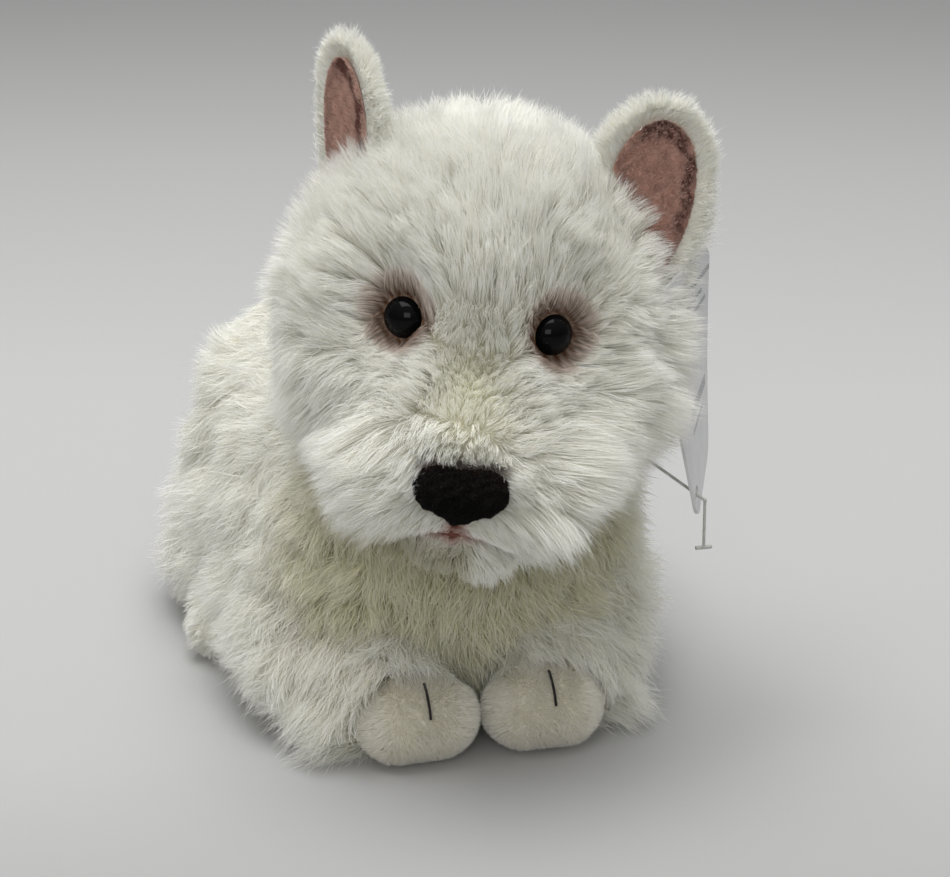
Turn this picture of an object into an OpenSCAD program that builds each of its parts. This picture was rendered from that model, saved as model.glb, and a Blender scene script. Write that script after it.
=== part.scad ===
// Lying plush terrier: stuffed long-pile toy dog with a turned head, pricked
// ears, folded legs, a short tail, safety eyes, a flocked nose and a blank
// swing tag. Every pile panel is a thick shell: its outer face is the outside
// of the pressed-down fur and its inner face is the woven backing.
// Facing -Y, dog's left is +X, resting on the plane Z = 0.

/* [Torso] */
// Radius of the rump, over the pressed pile
rump_r = 60; // [58:1:61]
// Radius of the chest, over the pressed pile
chest_r = 56; // [54:1:57]
// Height of the torso axis above the resting plane
torso_z = 55; // [53:1:57]
// Thickness of the fur fabric with its pile pressed down
pile_t = 8; // [6:1:9]
// Radius of the bag of ballast pellets in the belly
pellet_r = 20; // [16:1:21]

/* [Head] */
// Radius of the skull over the pressed pile
head_r = 49.7; // [49.7:0.1:49.9]
// Turn of the head towards the dog's right, in degrees
head_yaw = 15; // [12:1:18]
// Sideways lean of the head, dog's left eye lower, in degrees
head_roll = 7; // [4:1:9]
// Radius of the muzzle
muzzle_r = 24; // [22:0.5:25]
// Radius of the chin
chin_r = 14; // [12:0.5:15]

/* [Eyes and nose] */
// Diameter of the safety eyes
eye_d = 12; // [10:0.5:13]
// Distance between the middles of the eyes
eye_gap = 44; // [40:1:47]
// Width of the nose
nose_w = 25; // [22:1:27]
// Height of the nose
nose_h = 17; // [14:1:18]

/* [Ears] */
// Width of an ear at its widest
ear_w = 33; // [28:1:35]
// Length of an ear from the fold line to the tip
ear_l = 40; // [34:1:43]
// Thickness of the furry ear back
ear_back_t = 3.6; // [3:0.2:4]
// Thickness of the short-pile ear lining
ear_lining_t = 1.6; // [1.2:0.2:2]
// Outward turn of the dog's right ear, in degrees
ear_right_turn = 62; // [50:1:66]
// Outward turn of the dog's left ear, in degrees
ear_left_turn = 12; // [5:1:20]

/* [Legs] */
// Width of a front paw
paw_w = 36; // [32:1:38]
// Height of a front paw
paw_h = 26; // [24:1:27]
// Radius of a shoulder
shoulder_r = 21; // [19:0.5:22]
// Radius of a thigh
thigh_r = 27; // [25:0.5:28]
// Radius of a hind foot
foot_r = 12; // [11:0.5:13]
// Lift of a foreleg that the torso leaves room for, in degrees
fore_lift = 15; // [0:1:15]
// Sideways spread of a hind leg that the torso leaves room for, in degrees
hind_spread = 20; // [0:1:20]

/* [Tail] */
// Radius at the root of the tail
tail_r = 12; // [10:0.5:13]
// Length of the tail
tail_l = 40; // [32:1:44]

/* [Swing tag] */
// Height of the card
tag_h = 74; // [66:1:76]
// Width of the card
tag_w = 40; // [36:1:42]
// Thickness of the folded card
tag_t = 1; // [0.8:0.1:1.4]

/* [Hidden] */

$fn = 48;
big = 400;

// Build coordinates have Y = 0 over the front paws. The finished frame has
// its origin under the middle of the whole toy.
org = [8.4, 75.3, 0];

// Gap kept between bodies that move against each other
gap = 0.5;
// Hairline kept between the layers inside one body
ply = 0.1;

chest_c = [2, 64, torso_z];
rump_c = [2, 122, torso_z];
head_c = [6, 25, 131];
// The neck leaves the skull down and back along this tilt
neck_tilt = 40;

shoulder_c = [31, 47, 31];
paw_c = [19, -1, paw_h / 2];
hip_c = [31, 138, 31];
foot_c = [54, 97, foot_r];
tail_c = [2, 177, 88];

white = [0.95, 0.94, 0.90];
cream = [0.93, 0.92, 0.86];
fibre = [0.97, 0.97, 0.97];
pink = [0.76, 0.58, 0.52];
black = [0.04, 0.04, 0.05];
clear = [0.80, 0.80, 0.78];
card = [0.80, 0.81, 0.83];

// ---------------------------------------------------------------- helpers

// Moves build coordinates to the finished frame
module place() { translate(-org) children(); }

// Puts head coordinates (origin in the middle of the skull) on the toy
module on_head() {
    translate(head_c) rotate([0, head_roll, -head_yaw]) children();
}

// Everything on the side of the plane through p that n points away from
module below(p, tilt) {
    translate(p) rotate(tilt) translate([-big / 2, -big / 2, -big]) cube(big);
}

// Turns +Z towards v
module toward(v) {
    rotate([0, acos(v[2] / norm(v)), atan2(v[1], v[0])]) children();
}

// Round taper between two balls, a hair thinner than they are
module taper(a, b, ra, rb) {
    translate(a) toward(b - a) cylinder(h = norm(b - a), r1 = ra * 0.985, r2 = rb * 0.985);
}

function flip(v, s) = [v[0] * s, v[1], v[2]];

// ------------------------------------------------------------------ torso

// Plump body, g millimetres larger all round
module torso_form(g) {
    translate(chest_c) sphere(chest_r + g, $fn = 64);
    translate(rump_c) sphere(rump_r + g, $fn = 64);
    taper(chest_c, rump_c, chest_r + g, rump_r + g);
}

// A front leg grown by g, s = 1 for the dog's left
module foreleg_form(s, g) {
    w = paw_w / 2 - paw_h / 2;
    translate(flip(shoulder_c, s)) sphere(shoulder_r + g);
    taper(flip(shoulder_c, s), flip(paw_c, s) + [0, 5, 1], shoulder_r + g, paw_h / 2 + g);
    translate(flip(paw_c, s)) {
        for (k = [-1, 1]) translate([k * w, 0, 0]) sphere(paw_h / 2 + g);
        translate([-w, 0, 0]) rotate([0, 90, 0]) cylinder(h = 2 * w, r = 0.985 * (paw_h / 2 + g));
    }
}

// A back leg grown by g
module hindleg_form(s, g) {
    toe = flip(foot_c, s) + [s * 2, -12, 0];
    translate(flip(hip_c, s)) sphere(thigh_r + g);
    taper(flip(hip_c, s), flip(foot_c, s), thigh_r + g, foot_r + g);
    translate(flip(foot_c, s)) sphere(foot_r + g);
    taper(flip(foot_c, s), toe, foot_r + g, foot_r + g - 0.5);
    translate(toe) sphere(foot_r + g - 0.5);
}

// Room that a front leg lifts through
module fore_room(s, g) {
    translate(flip(shoulder_c, s)) sphere(shoulder_r + g);
    rise = sin(fore_lift) * 26;
    taper(flip(shoulder_c, s), flip(paw_c, s) + [0, -6, rise], shoulder_r + g + 2.6, paw_h / 2 + rise + g + 1.5);
}

// Room that a back leg spreads through
module hind_room(s, g) {
    out = sin(hind_spread) * 22;
    translate(flip(hip_c, s)) sphere(thigh_r + g);
    taper(flip(hip_c, s), flip(foot_c, s) + [s * out * 0.4, -4, 1], thigh_r + g + 0.6, foot_r + out + g + 2.5);
}

module tail_form(g) {
    tip = tail_c + [0, 10, tail_l - tail_r];
    translate(tail_c) sphere(tail_r + g);
    taper(tail_c, tip, tail_r + g, tail_r * 0.72 + g);
    translate(tip) sphere(tail_r * 0.72 + g);
}

module torso_outer() {
    difference() {
        torso_form(0);
        below([0, 0, 0], [0, 0, 0]);
        translate(head_c) sphere(head_r + gap, $fn = 64);
        for (s = [-1, 1]) { fore_room(s, gap); hind_room(s, gap); }
        translate(tail_c) sphere(tail_r + gap);
    }
}

module torso_inner(g) {
    difference() {
        torso_form(-pile_t - g);
        below([0, 0, pile_t * 0.6 + g], [0, 0, 0]);
        translate(head_c) sphere(head_r + gap + 4 + g, $fn = 64);
        for (s = [-1, 1]) { fore_room(s, gap + 4 + g); hind_room(s, gap + 4 + g); }
        translate(tail_c) sphere(tail_r + gap + 4 + g);
    }
}

// Piece of the torso skin inside the box from a to b
module torso_skin(a, b) {
    difference() {
        intersection() {
            torso_outer();
            translate(a) cube(b - a);
        }
        torso_inner(0);
    }
}

belly_z = 21;

module back_panel_left() {
    color(white) place() torso_skin([chest_c[0] + ply / 2, -50, belly_z + ply / 2], [200, 300, 300]);
}
module back_panel_right() {
    color(white) place() torso_skin([-200, -50, belly_z + ply / 2], [chest_c[0] - ply / 2, 300, 300]);
}
module belly_panel() {
    color(cream) place() torso_skin([-200, -50, -10], [200, 300, belly_z - ply / 2]);
}

pellet_c = [2, 90, torso_z - 17];

module body_stuffing() {
    color(fibre) place() difference() {
        torso_inner(ply);
        translate(pellet_c) sphere(pellet_r + ply);
    }
}

module pellet_bag() { color(clear) place() translate(pellet_c) sphere(pellet_r); }

// Ladder-stitched closing seam over the rump, a row of short thread bars
module closing_seam() {
    color(fibre) place() for (i = [-2 : 5])
        translate(rump_c) rotate([i * 2.6, 0, 0]) translate([-2, rump_r + 0.4, 0])
            rotate([0, 90, 0]) cylinder(h = 4, r = 0.3, $fn = 16);
}

// Blank woven label caught in the seam under the tail
module care_label() {
    color(fibre) place() translate([rump_c[0] - 11, 182.3, 14]) cube([22, 0.5, 30]);
}

// -------------------------------------------------------------------- neck

// Fabric ring between head and body, part of a hollow ball round the middle
// of the skull, so the head turns and nods inside it
module neck_gusset() {
    color(cream) place() on_head() rotate([neck_tilt, 0, 0]) difference() {
        sphere(head_r, $fn = 64);
        sphere(head_r - 4, $fn = 64);
        translate([0, 0, -25]) translate([-big / 2, -big / 2, 0]) cube(big);
        rotate([180, 0, 0]) cylinder(h = 60, r = 11);
    }
}

// -------------------------------------------------------------------- head

muzzle_c = [0, -41, -27];
chin_c = [0, -43, -50];
eye_p = [eye_gap / 2, -40, 5];
nose_d = [0, -0.93, -0.37];

module head_form(g) {
    sphere(head_r + g, $fn = 64);
    translate(muzzle_c) sphere(muzzle_r + g);
    translate(chin_c) sphere(chin_r + g);
}

// Hollow that the neck ring moves in, with room to nod
module neck_hollow(g) {
    rotate([neck_tilt, 0, 0]) difference() {
        sphere(head_r + 30);
        sphere(head_r - 4 - gap - g, $fn = 64);
        translate([0, 0, -12 + g]) translate([-big / 2, -big / 2, 0]) cube(big);
    }
}

// Seats for the eyes: a flat-bottomed cup and a stem hole
module eye_seat(s) {
    toward(flip(eye_p, s)) {
        translate([0, 0, norm(eye_p) - 2.6]) cylinder(h = 20, r = eye_d / 2 + ply);
        cylinder(h = 60, r = 2.2);
    }
}

module nose_seat() {
    translate(muzzle_c) toward(nose_d) cylinder(h = 40, r = 2.2);
}

module head_outer() {
    difference() {
        head_form(0);
        neck_hollow(0);
        for (s = [-1, 1]) eye_seat(s);
        nose_seat();
    }
}

module head_inner(g) {
    difference() {
        union() {
            sphere(head_r - pile_t - g, $fn = 64);
            translate(muzzle_c) sphere(muzzle_r - pile_t - g);
            translate(chin_c) sphere(chin_r - 5 - g);
        }
        neck_hollow(4 + g);
    }
}

// Piece of the head skin inside the box from a to b
module head_skin(a, b) {
    difference() {
        intersection() {
            head_outer();
            translate(a) cube(b - a);
        }
        head_inner(0);
    }
}

muzzle_y = -43;
chin_z = -37;
gusset_w = 14;

module head_side() { head_skin([gusset_w, muzzle_y + ply, chin_z + ply], [90, 90, 90]); }
module head_side_panel_left() { color(white) place() on_head() head_side(); }
module head_side_panel_right() { color(white) place() on_head() mirror([1, 0, 0]) head_side(); }
module head_gusset() {
    color(white) place() on_head() head_skin([-gusset_w + ply, muzzle_y + ply, chin_z + ply], [gusset_w - ply, 90, 90]);
}
module muzzle_panel() {
    color(cream) place() on_head() head_skin([-90, -130, -110], [90, muzzle_y, 90]);
}
module chin_panel() {
    color(cream) place() on_head() head_skin([-90, muzzle_y + ply, -110], [90, 90, chin_z]);
}

washer_z = 37.4;

module head_stuffing() {
    color(fibre) place() on_head() difference() {
        head_inner(ply);
        for (s = [-1, 1]) toward(flip(eye_p, s)) {
            translate([0, 0, washer_z - 0.3]) cylinder(h = 10, r = 7.2);
            translate([0, 0, 33]) cylinder(h = 20, r = 2.2);
        }
        translate(muzzle_c) toward(nose_d) {
            translate([0, 0, 12.2]) cylinder(h = 10, r = 7.7);
            translate([0, 0, 8]) cylinder(h = 20, r = 2.2);
        }
    }
}

// -------------------------------------------------------------- eyes, nose

// Domed safety eye with its ribbed stem
module eye(s) {
    color(black) place() on_head() toward(flip(eye_p, s)) {
        translate([0, 0, norm(eye_p) - 2.5]) intersection() {
            translate([0, 0, -1.2]) sphere(eye_d / 2 + 0.12);
            cylinder(h = 10, r = eye_d / 2);
        }
        difference() {
            translate([0, 0, 34]) cylinder(h = norm(eye_p) - 36, r = 2);
            for (i = [0 : 2]) translate([0, 0, 35 + i * 1]) difference() {
                cylinder(h = 0.4, r = 3);
                translate([0, 0, -1]) cylinder(h = 3, r = 1.7);
            }
        }
    }
}
module eye_left() { eye(1); }
module eye_right() { eye(-1); }

// Push-on washer that locks an eye from the inside
module eye_washer(s) {
    color(clear) place() on_head() toward(flip(eye_p, s)) translate([0, 0, washer_z]) difference() {
        union() {
            cylinder(h = 1.2, r = 6.6);
            cylinder(h = 2.2, r = 3.6);
        }
        translate([0, 0, -1]) cylinder(h = 5, r = 2.1);
    }
}
module eye_washer_left() { eye_washer(1); }
module eye_washer_right() { eye_washer(-1); }

// Flocked nose, a rounded triangle, on a stem
module nose() {
    color(black) place() on_head() translate(muzzle_c) toward(nose_d) {
        // toward() leaves the local X axis pointing down the face
        translate([0, 0, muzzle_r + 0.2]) difference() {
            hull() {
                for (k = [-1, 1]) translate([-2.6, k * (nose_w / 2 - 6), 1.2]) sphere(6, $fn = 32);
                translate([nose_h / 2 - 4.6, 0, 0.8]) sphere(4.6, $fn = 32);
            }
            translate([-big / 2, -big / 2, -big]) cube(big);
        }
        translate([0, 0, 9.5]) cylinder(h = muzzle_r - 9.3, r = 2);
    }
}

module nose_washer() {
    color(clear) place() on_head() translate(muzzle_c) toward(nose_d) translate([0, 0, 12.6]) difference() {
        union() {
            cylinder(h = 1.2, r = 7);
            cylinder(h = 2.2, r = 3.6);
        }
        translate([0, 0, -1]) cylinder(h = 5, r = 2.1);
    }
}

// Stitched line from the nose to the lip, and the lip line on the chin
module mouth_stitching() {
    color(black) place() on_head() {
        translate(muzzle_c) rotate([0, 0, -90]) rotate([90, 0, 0]) rotate([0, 0, -49])
            rotate_extrude(angle = 7) translate([muzzle_r + 0.5, 0]) circle(0.4, $fn = 16);
        // The lip runs round the crease where the muzzle meets the chin
        v = chin_c - muzzle_c;
        d = norm(v);
        a = (muzzle_r * muzzle_r - chin_r * chin_r + d * d) / (2 * d);
        translate(muzzle_c) toward(v) translate([0, 0, a]) rotate([0, 0, 135])
            rotate_extrude(angle = 90) translate([sqrt(muzzle_r * muzzle_r - a * a) + 0.7, 0]) circle(0.35, $fn = 16);
    }
}

// -------------------------------------------------------------------- ears

// Fold points: the left ear sits a little lower than the right
function ear_b(s) = s > 0 ? [45.3, 0, 25] : [-40.6, 0, 32];
ear_lean = 3;

// Outline of an ear about its fold point, going up the Y axis
function ear_half(t) = t < 0.45
    ? 0.5 * (1 - 0.30 * pow((0.45 - t) / 0.45, 2))
    : 0.5 * pow(max(0, 1 - pow((t - 0.45) / 0.55, 2.3)), 0.5);

module ear_outline(w, l, drop) {
    n = 14;
    polygon(concat(
        [for (i = [0 : n]) let (t = i / n) [w * ear_half(t), -drop + t * (l + drop)]],
        [for (i = [n - 1 : -1 : 0]) let (t = i / n) [-w * ear_half(t), -drop + t * (l + drop)]]
    ));
}

// Stands an ear drawn in XY on its fold point: lining towards -Y, then turned
// out, then cut off along the plane that just clears the skull
module ear_at(s, turn, lean) {
    difference() {
        translate(ear_b(s)) rotate([0, s * lean, 0]) rotate([0, 0, s * turn]) rotate([90, 0, 0]) children();
        below(ear_b(s), [0, atan2(ear_b(s)[0], ear_b(s)[2]), 0]);
    }
}

module ear_back(s, turn, lean) {
    color(white) place() on_head() ear_at(s, turn, lean)
        translate([0, 0, -ear_back_t]) linear_extrude(ear_back_t) ear_outline(ear_w, ear_l, 6);
}
module ear_lining(s, turn, lean) {
    color(pink) place() on_head() ear_at(s, turn, lean)
        translate([0, 0, ply / 2]) linear_extrude(ear_lining_t) ear_outline(ear_w - 7, ear_l - 4, 6);
}
module ear_back_left() { ear_back(1, ear_left_turn, 2); }
module ear_back_right() { ear_back(-1, ear_right_turn, 7); }
module ear_lining_left() { ear_lining(1, ear_left_turn, 2); }
module ear_lining_right() { ear_lining(-1, ear_right_turn, 7); }

// -------------------------------------------------------------------- legs

leg_t = 4;

// Swaps left and right, so that both legs of a pair have one shape
module other_side() { mirror([1, 0, 0]) children(); }

module foreleg() { difference() { foreleg_form(1, 0); foreleg_form(1, -leg_t); } }
module foreleg_left() { color(white) place() foreleg(); }
module foreleg_right() { color(white) place() other_side() foreleg(); }
module foreleg_stuffing_left() { color(fibre) place() foreleg_form(1, -leg_t - ply); }
module foreleg_stuffing_right() { color(fibre) place() other_side() foreleg_form(1, -leg_t - ply); }

// Toe stitch: a thread arc over the front of the paw
module toe_stitches(s) {
    color(black) place() translate(flip(paw_c, s)) translate([1, 0, 0])
        rotate([0, 90, 0]) rotate([0, 0, 200])
            rotate_extrude(angle = 50) translate([paw_h / 2 + 0.45, 0]) circle(0.4, $fn = 16);
}
module toe_stitches_left() { toe_stitches(1); }
module toe_stitches_right() { toe_stitches(-1); }

module hindleg(s) { difference() { hindleg_form(s, 0); hindleg_form(s, -leg_t); } }
module hindleg_left() { color(white) place() other_side() hindleg(-1); }
module hindleg_right() { color(white) place() other_side() hindleg(1); }
module hindleg_stuffing_left() { color(fibre) place() other_side() hindleg_form(-1, -leg_t - ply); }
module hindleg_stuffing_right() { color(fibre) place() other_side() hindleg_form(1, -leg_t - ply); }

// -------------------------------------------------------------------- tail

module tail() { color(white) place() difference() { tail_form(0); tail_form(-leg_t); } }
module tail_stuffing() { color(fibre) place() tail_form(-leg_t - ply); }

// --------------------------------------------------------------- swing tag

// Hole near the lower front corner of the card
tag_hole = [70.9, 9.7, 71];
tag_yaw = 66.5;
tag_tilt = 15;
tag_twist = 20;
hole_in = 6;

// Blank card along the cheek: tilted in its plane and twisted about its rear edge
module hang_tag() {
    color(card) place() translate(tag_hole) rotate([0, 0, tag_yaw]) rotate([0, -tag_tilt, 0]) difference() {
        intersection() {
            translate([tag_w - hole_in, 0, -hole_in]) linear_extrude(height = tag_h, twist = tag_twist, slices = 16)
                translate([-tag_w, -tag_t / 2]) square([tag_w, tag_t]);
            translate([tag_w - hole_in, 0, 0]) rotate([0, 0, -tag_twist / 2]) translate([hole_in - tag_w, 0, 0])
                rotate([90, 0, 0]) translate([0, 0, -30]) linear_extrude(60) polygon([for (c = [0 : 3], a = [0 : 15 : 90])
                    let (r = 6,
                         cx = (c == 0 || c == 3) ? tag_w - hole_in - r : r - hole_in,
                         cy = c < 2 ? tag_h - hole_in - r : r - hole_in)
                    [cx + r * cos(a + 90 * c), cy + r * sin(a + 90 * c)]]);
        }
        rotate([90, 0, 0]) translate([0, 0, -6]) cylinder(h = 12, r = 2.5);
    }
}

// Nylon barb: a bar inside the cheek, a filament through the hole, a hanging end
barb_in = [41.5, 14.6, 93.4];
barb_out = tag_hole + [1.8, -0.8, -1.9];
barb_end = tag_hole + [1.8, -0.8, -17];
module tag_fastener() {
    color(clear) place() {
        translate(barb_in) toward(barb_out - barb_in) cylinder(h = norm(barb_out - barb_in), r = 0.45, $fn = 16);
        translate(barb_out) sphere(0.62, $fn = 24);
        translate(barb_end) cylinder(h = barb_out[2] - barb_end[2], r = 0.45, $fn = 16);
        translate(barb_end) rotate([0, 90, 0]) translate([0, 0, -2.5]) cylinder(h = 5, r = 0.6, $fn = 16);
    }
}

// ------------------------------------------------------------------ output

back_panel_left();
back_panel_right();
belly_panel();
body_stuffing();
pellet_bag();
closing_seam();
care_label();
neck_gusset();
head_side_panel_left();
head_side_panel_right();
head_gusset();
muzzle_panel();
chin_panel();
head_stuffing();
eye_left();
eye_right();
eye_washer_left();
eye_washer_right();
nose();
nose_washer();
mouth_stitching();
ear_back_left();
ear_back_right();
ear_lining_left();
ear_lining_right();
foreleg_left();
foreleg_right();
foreleg_stuffing_left();
foreleg_stuffing_right();
toe_stitches_left();
toe_stitches_right();
hindleg_left();
hindleg_right();
hindleg_stuffing_left();
hindleg_stuffing_right();
tail();
tail_stuffing();
hang_tag();
tag_fastener();
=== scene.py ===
import math

import bmesh
import bpy
import numpy as np
from mathutils import Matrix, Vector, kdtree


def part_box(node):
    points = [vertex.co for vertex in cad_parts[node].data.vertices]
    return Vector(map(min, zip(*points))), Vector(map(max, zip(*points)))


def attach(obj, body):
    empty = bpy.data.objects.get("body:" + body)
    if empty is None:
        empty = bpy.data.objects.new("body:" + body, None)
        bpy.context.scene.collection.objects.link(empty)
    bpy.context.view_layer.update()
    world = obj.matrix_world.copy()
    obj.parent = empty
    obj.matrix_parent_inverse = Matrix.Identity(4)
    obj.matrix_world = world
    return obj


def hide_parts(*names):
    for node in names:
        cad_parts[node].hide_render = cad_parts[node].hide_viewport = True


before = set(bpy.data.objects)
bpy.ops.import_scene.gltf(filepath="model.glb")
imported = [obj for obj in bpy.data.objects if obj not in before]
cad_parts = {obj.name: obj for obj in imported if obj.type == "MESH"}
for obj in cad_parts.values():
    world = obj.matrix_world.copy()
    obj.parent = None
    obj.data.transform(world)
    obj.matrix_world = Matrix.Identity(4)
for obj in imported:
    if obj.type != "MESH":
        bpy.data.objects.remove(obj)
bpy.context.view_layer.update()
rng = np.random.default_rng(20)

# ---------------------------------------------------------------- frame
# Everything is drawn in millimetres in the part's build coordinates and
# turned into metres in the shared frame as a mesh is made.
ORG = np.array([8.4, 75.3, 0.0])
HEAD = np.array([6.0, 25.0, 131.0])
YAW, ROLL = math.radians(-15), math.radians(7)
RZ = np.array([[math.cos(YAW), -math.sin(YAW), 0], [math.sin(YAW), math.cos(YAW), 0], [0, 0, 1]])
RY = np.array([[math.cos(ROLL), 0, math.sin(ROLL)], [0, 1, 0], [-math.sin(ROLL), 0, math.cos(ROLL)]])
RH = RZ @ RY


def from_head(p):
    return HEAD + np.asarray(p, float) @ RH.T


def to_head(p):
    return (np.asarray(p, float) - HEAD) @ RH


def unit(v):
    return v / np.maximum(np.linalg.norm(v, axis=-1, keepdims=True), 1e-9)


def step(a, b, x):
    t = np.clip((x - a) / (b - a), 0, 1)
    return t * t * (3 - 2 * t)


# ------------------------------------------------------------ soft forms
def ball(p, c, r):
    return np.linalg.norm(p - np.asarray(c, float), axis=-1) - r


def rod(p, a, b, ra, rb):
    a, b = np.asarray(a, float), np.asarray(b, float)
    d = b - a
    t = np.clip(((p - a) @ d) / (d @ d), 0, 1)
    return np.linalg.norm(p - a - t[..., None] * d, axis=-1) - (ra + (rb - ra) * t)


def melt(a, b, k):
    h = np.clip(0.5 + 0.5 * (b - a) / k, 0, 1)
    return b * (1 - h) + a * h - k * h * (1 - h)


def sd_head(q):  # head coordinates
    d = ball(q, (0, 0, 0), 44.6)
    d = melt(d, ball(q, (0, -41, -27), 20.5), 9)
    d = melt(d, rod(q, (-5, -44.5, -38), (5, -44.5, -38), 15.6, 15.6), 4)
    return melt(d, ball(q, (0, -41.5, -50.5), 11), 2)


def sd_head_b(p):
    return sd_head(to_head(p))


def sd_torso(p):
    d = rod(p, (2, 64, 55), (2, 122, 55), 51, 55)
    return np.maximum(d, 3.0 - p[..., 2])


def sd_foreleg(p, s):
    d = rod(p, (31 * s, 47, 31), (19 * s, 4, 14), 18, 10.5)
    d = melt(d, rod(p, (19 * s - 5, -1, 13), (19 * s + 5, -1, 13), 11.6, 11.6), 4)
    return np.maximum(d, 1.2 - p[..., 2])


def sd_hindleg(p, s):
    d = rod(p, (31 * s, 138, 31), (54 * s, 97, 12), 24.2, 9.4)
    d = melt(d, rod(p, (54 * s, 97, 12), (56 * s, 85, 12), 10, 9.6), 3)
    return np.maximum(d, 1.2 - p[..., 2])


def sd_tail(p):
    return rod(p, (2, 177, 88), (2, 187, 104), 9.2, 6.2)


def slope(sd, p, e=0.25):
    g = np.empty_like(p)
    for i in range(3):
        q = p.copy()
        q[..., i] += e
        r = p.copy()
        r[..., i] -= e
        g[..., i] = sd(q) - sd(r)
    return unit(g)


def wave(p, size, seed, n=5):
    """A smooth random vector at each point, changing over about size millimetres."""
    r = np.random.default_rng(seed)
    out = np.zeros_like(p)
    for _ in range(n):
        k = unit(r.normal(size=3)) * (2 * math.pi / size) * r.uniform(0.6, 1.5)
        out += np.sin(p @ k + r.uniform(0, 6.28))[..., None] * r.normal(size=3)
    return out / math.sqrt(n)


# --------------------------------------------------------------- meshes
def srgb(r, g, b):
    c = np.array([r, g, b], float) / 255
    return np.where(c <= 0.04045, c / 12.92, ((c + 0.055) / 1.055) ** 2.4)


def make(name, V, T, mat, body, col=None, uv=None, smooth=True, mm=True):
    me = bpy.data.meshes.new(name)
    V = np.asarray(V, float)
    if mm:
        V = (V - ORG) / 1000
    T = np.asarray(T, np.int32)
    me.vertices.add(len(V))
    me.vertices.foreach_set("co", V.astype(np.float32).ravel())
    me.loops.add(T.size)
    me.loops.foreach_set("vertex_index", T.ravel())
    me.polygons.add(len(T))
    me.polygons.foreach_set("loop_start", np.arange(0, T.size, T.shape[1], dtype=np.int32))
    me.update(calc_edges=True)
    if not smooth:
        me.polygons.foreach_set("use_smooth", np.zeros(len(T), bool))
    a = me.attributes.new("tint", "FLOAT_COLOR", "POINT")
    c = np.ones((len(V), 4), np.float32)
    if col is not None:
        c[:, :3] = col
    a.data.foreach_set("color", c.ravel())
    if uv is not None:
        layer = me.uv_layers.new(name="OFBake")
        layer.data.foreach_set("uv", np.asarray(uv, np.float32)[T.ravel()].ravel())
    ob = bpy.data.objects.new(name, me)
    bpy.context.scene.collection.objects.link(ob)
    me.materials.append(mat)
    if body == "stage":
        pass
    else:
        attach(ob, body)
    return ob


def ico(level):
    bm = bmesh.new()
    bmesh.ops.create_icosphere(bm, subdivisions=level, radius=1)
    V = np.array([v.co[:] for v in bm.verts])
    T = np.array([[v.index for v in f.verts] for f in bm.faces])
    bm.free()
    return V, T


def swell(level, centre, sd, reach=140):
    """A ball's points pushed out from centre until they meet the form."""
    d, T = ico(level)
    c = np.asarray(centre, float)
    lo, hi = np.zeros(len(d)), np.full(len(d), float(reach))
    for _ in range(26):
        mid = (lo + hi) / 2
        inside = sd(c + d * mid[:, None]) < 0
        lo, hi = np.where(inside, mid, lo), np.where(inside, hi, mid)
    return c + d * ((lo + hi) / 2)[:, None], T


def part_of(V, T, keep):
    T = T[keep]
    used = np.unique(T)
    new = np.zeros(len(V), np.int64)
    new[used] = np.arange(len(used))
    return V[used], new[T]


# ------------------------------------------------------------ materials
def material(name, build):
    m = bpy.data.materials.new(name)
    m.use_nodes = True
    t = m.node_tree
    t.nodes.clear()
    out = t.nodes.new("ShaderNodeOutputMaterial")
    build(t, out)
    return m


def node(t, kind, **sets):
    n = t.nodes.new(kind)
    for k, v in sets.items():
        if k.startswith("_"):
            setattr(n, k[1:], v)
        else:
            n.inputs[k.replace("_", " ")].default_value = v
    return n


def ramp(t, stops):
    r = t.nodes.new("ShaderNodeValToRGB")
    e = r.color_ramp.elements
    while len(e) > 1:
        e.remove(e[-1])
    e[0].position, e[0].color = stops[0][0], (*stops[0][1], 1)
    for pos, c in stops[1:]:
        e.new(pos).color = (*c, 1)
    return r


def fur_material(name, see_through=0.42, rough=0.6):
    def build(t, out):
        a = node(t, "ShaderNodeAttribute", _attribute_name="tint")
        co = node(t, "ShaderNodeTexCoord")
        nz = node(t, "ShaderNodeTexNoise", Scale=330.0, Detail=2.0)
        t.links.new(co.outputs["Object"], nz.inputs["Vector"])
        rp = ramp(t, [(0.3, (0.982, 0.982, 0.978)), (0.6, (1.0, 1.0, 1.0))])
        t.links.new(nz.outputs["Fac"], rp.inputs["Fac"])
        mix = node(t, "ShaderNodeMix", _data_type="RGBA", _blend_type="MULTIPLY")
        mix.inputs[0].default_value = 1.0
        t.links.new(a.outputs["Color"], mix.inputs[6])
        t.links.new(rp.outputs["Color"], mix.inputs[7])
        p = node(t, "ShaderNodeBsdfPrincipled", Roughness=rough)
        p.inputs["Specular IOR Level"].default_value = 0.25
        tr = node(t, "ShaderNodeBsdfTranslucent")
        t.links.new(mix.outputs[2], p.inputs["Base Color"])
        t.links.new(mix.outputs[2], tr.inputs["Color"])
        ms = node(t, "ShaderNodeMixShader")
        ms.inputs[0].default_value = see_through
        t.links.new(p.outputs[0], ms.inputs[1])
        t.links.new(tr.outputs[0], ms.inputs[2])
        t.links.new(ms.outputs[0], out.inputs["Surface"])
    return material(name, build)


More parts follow.
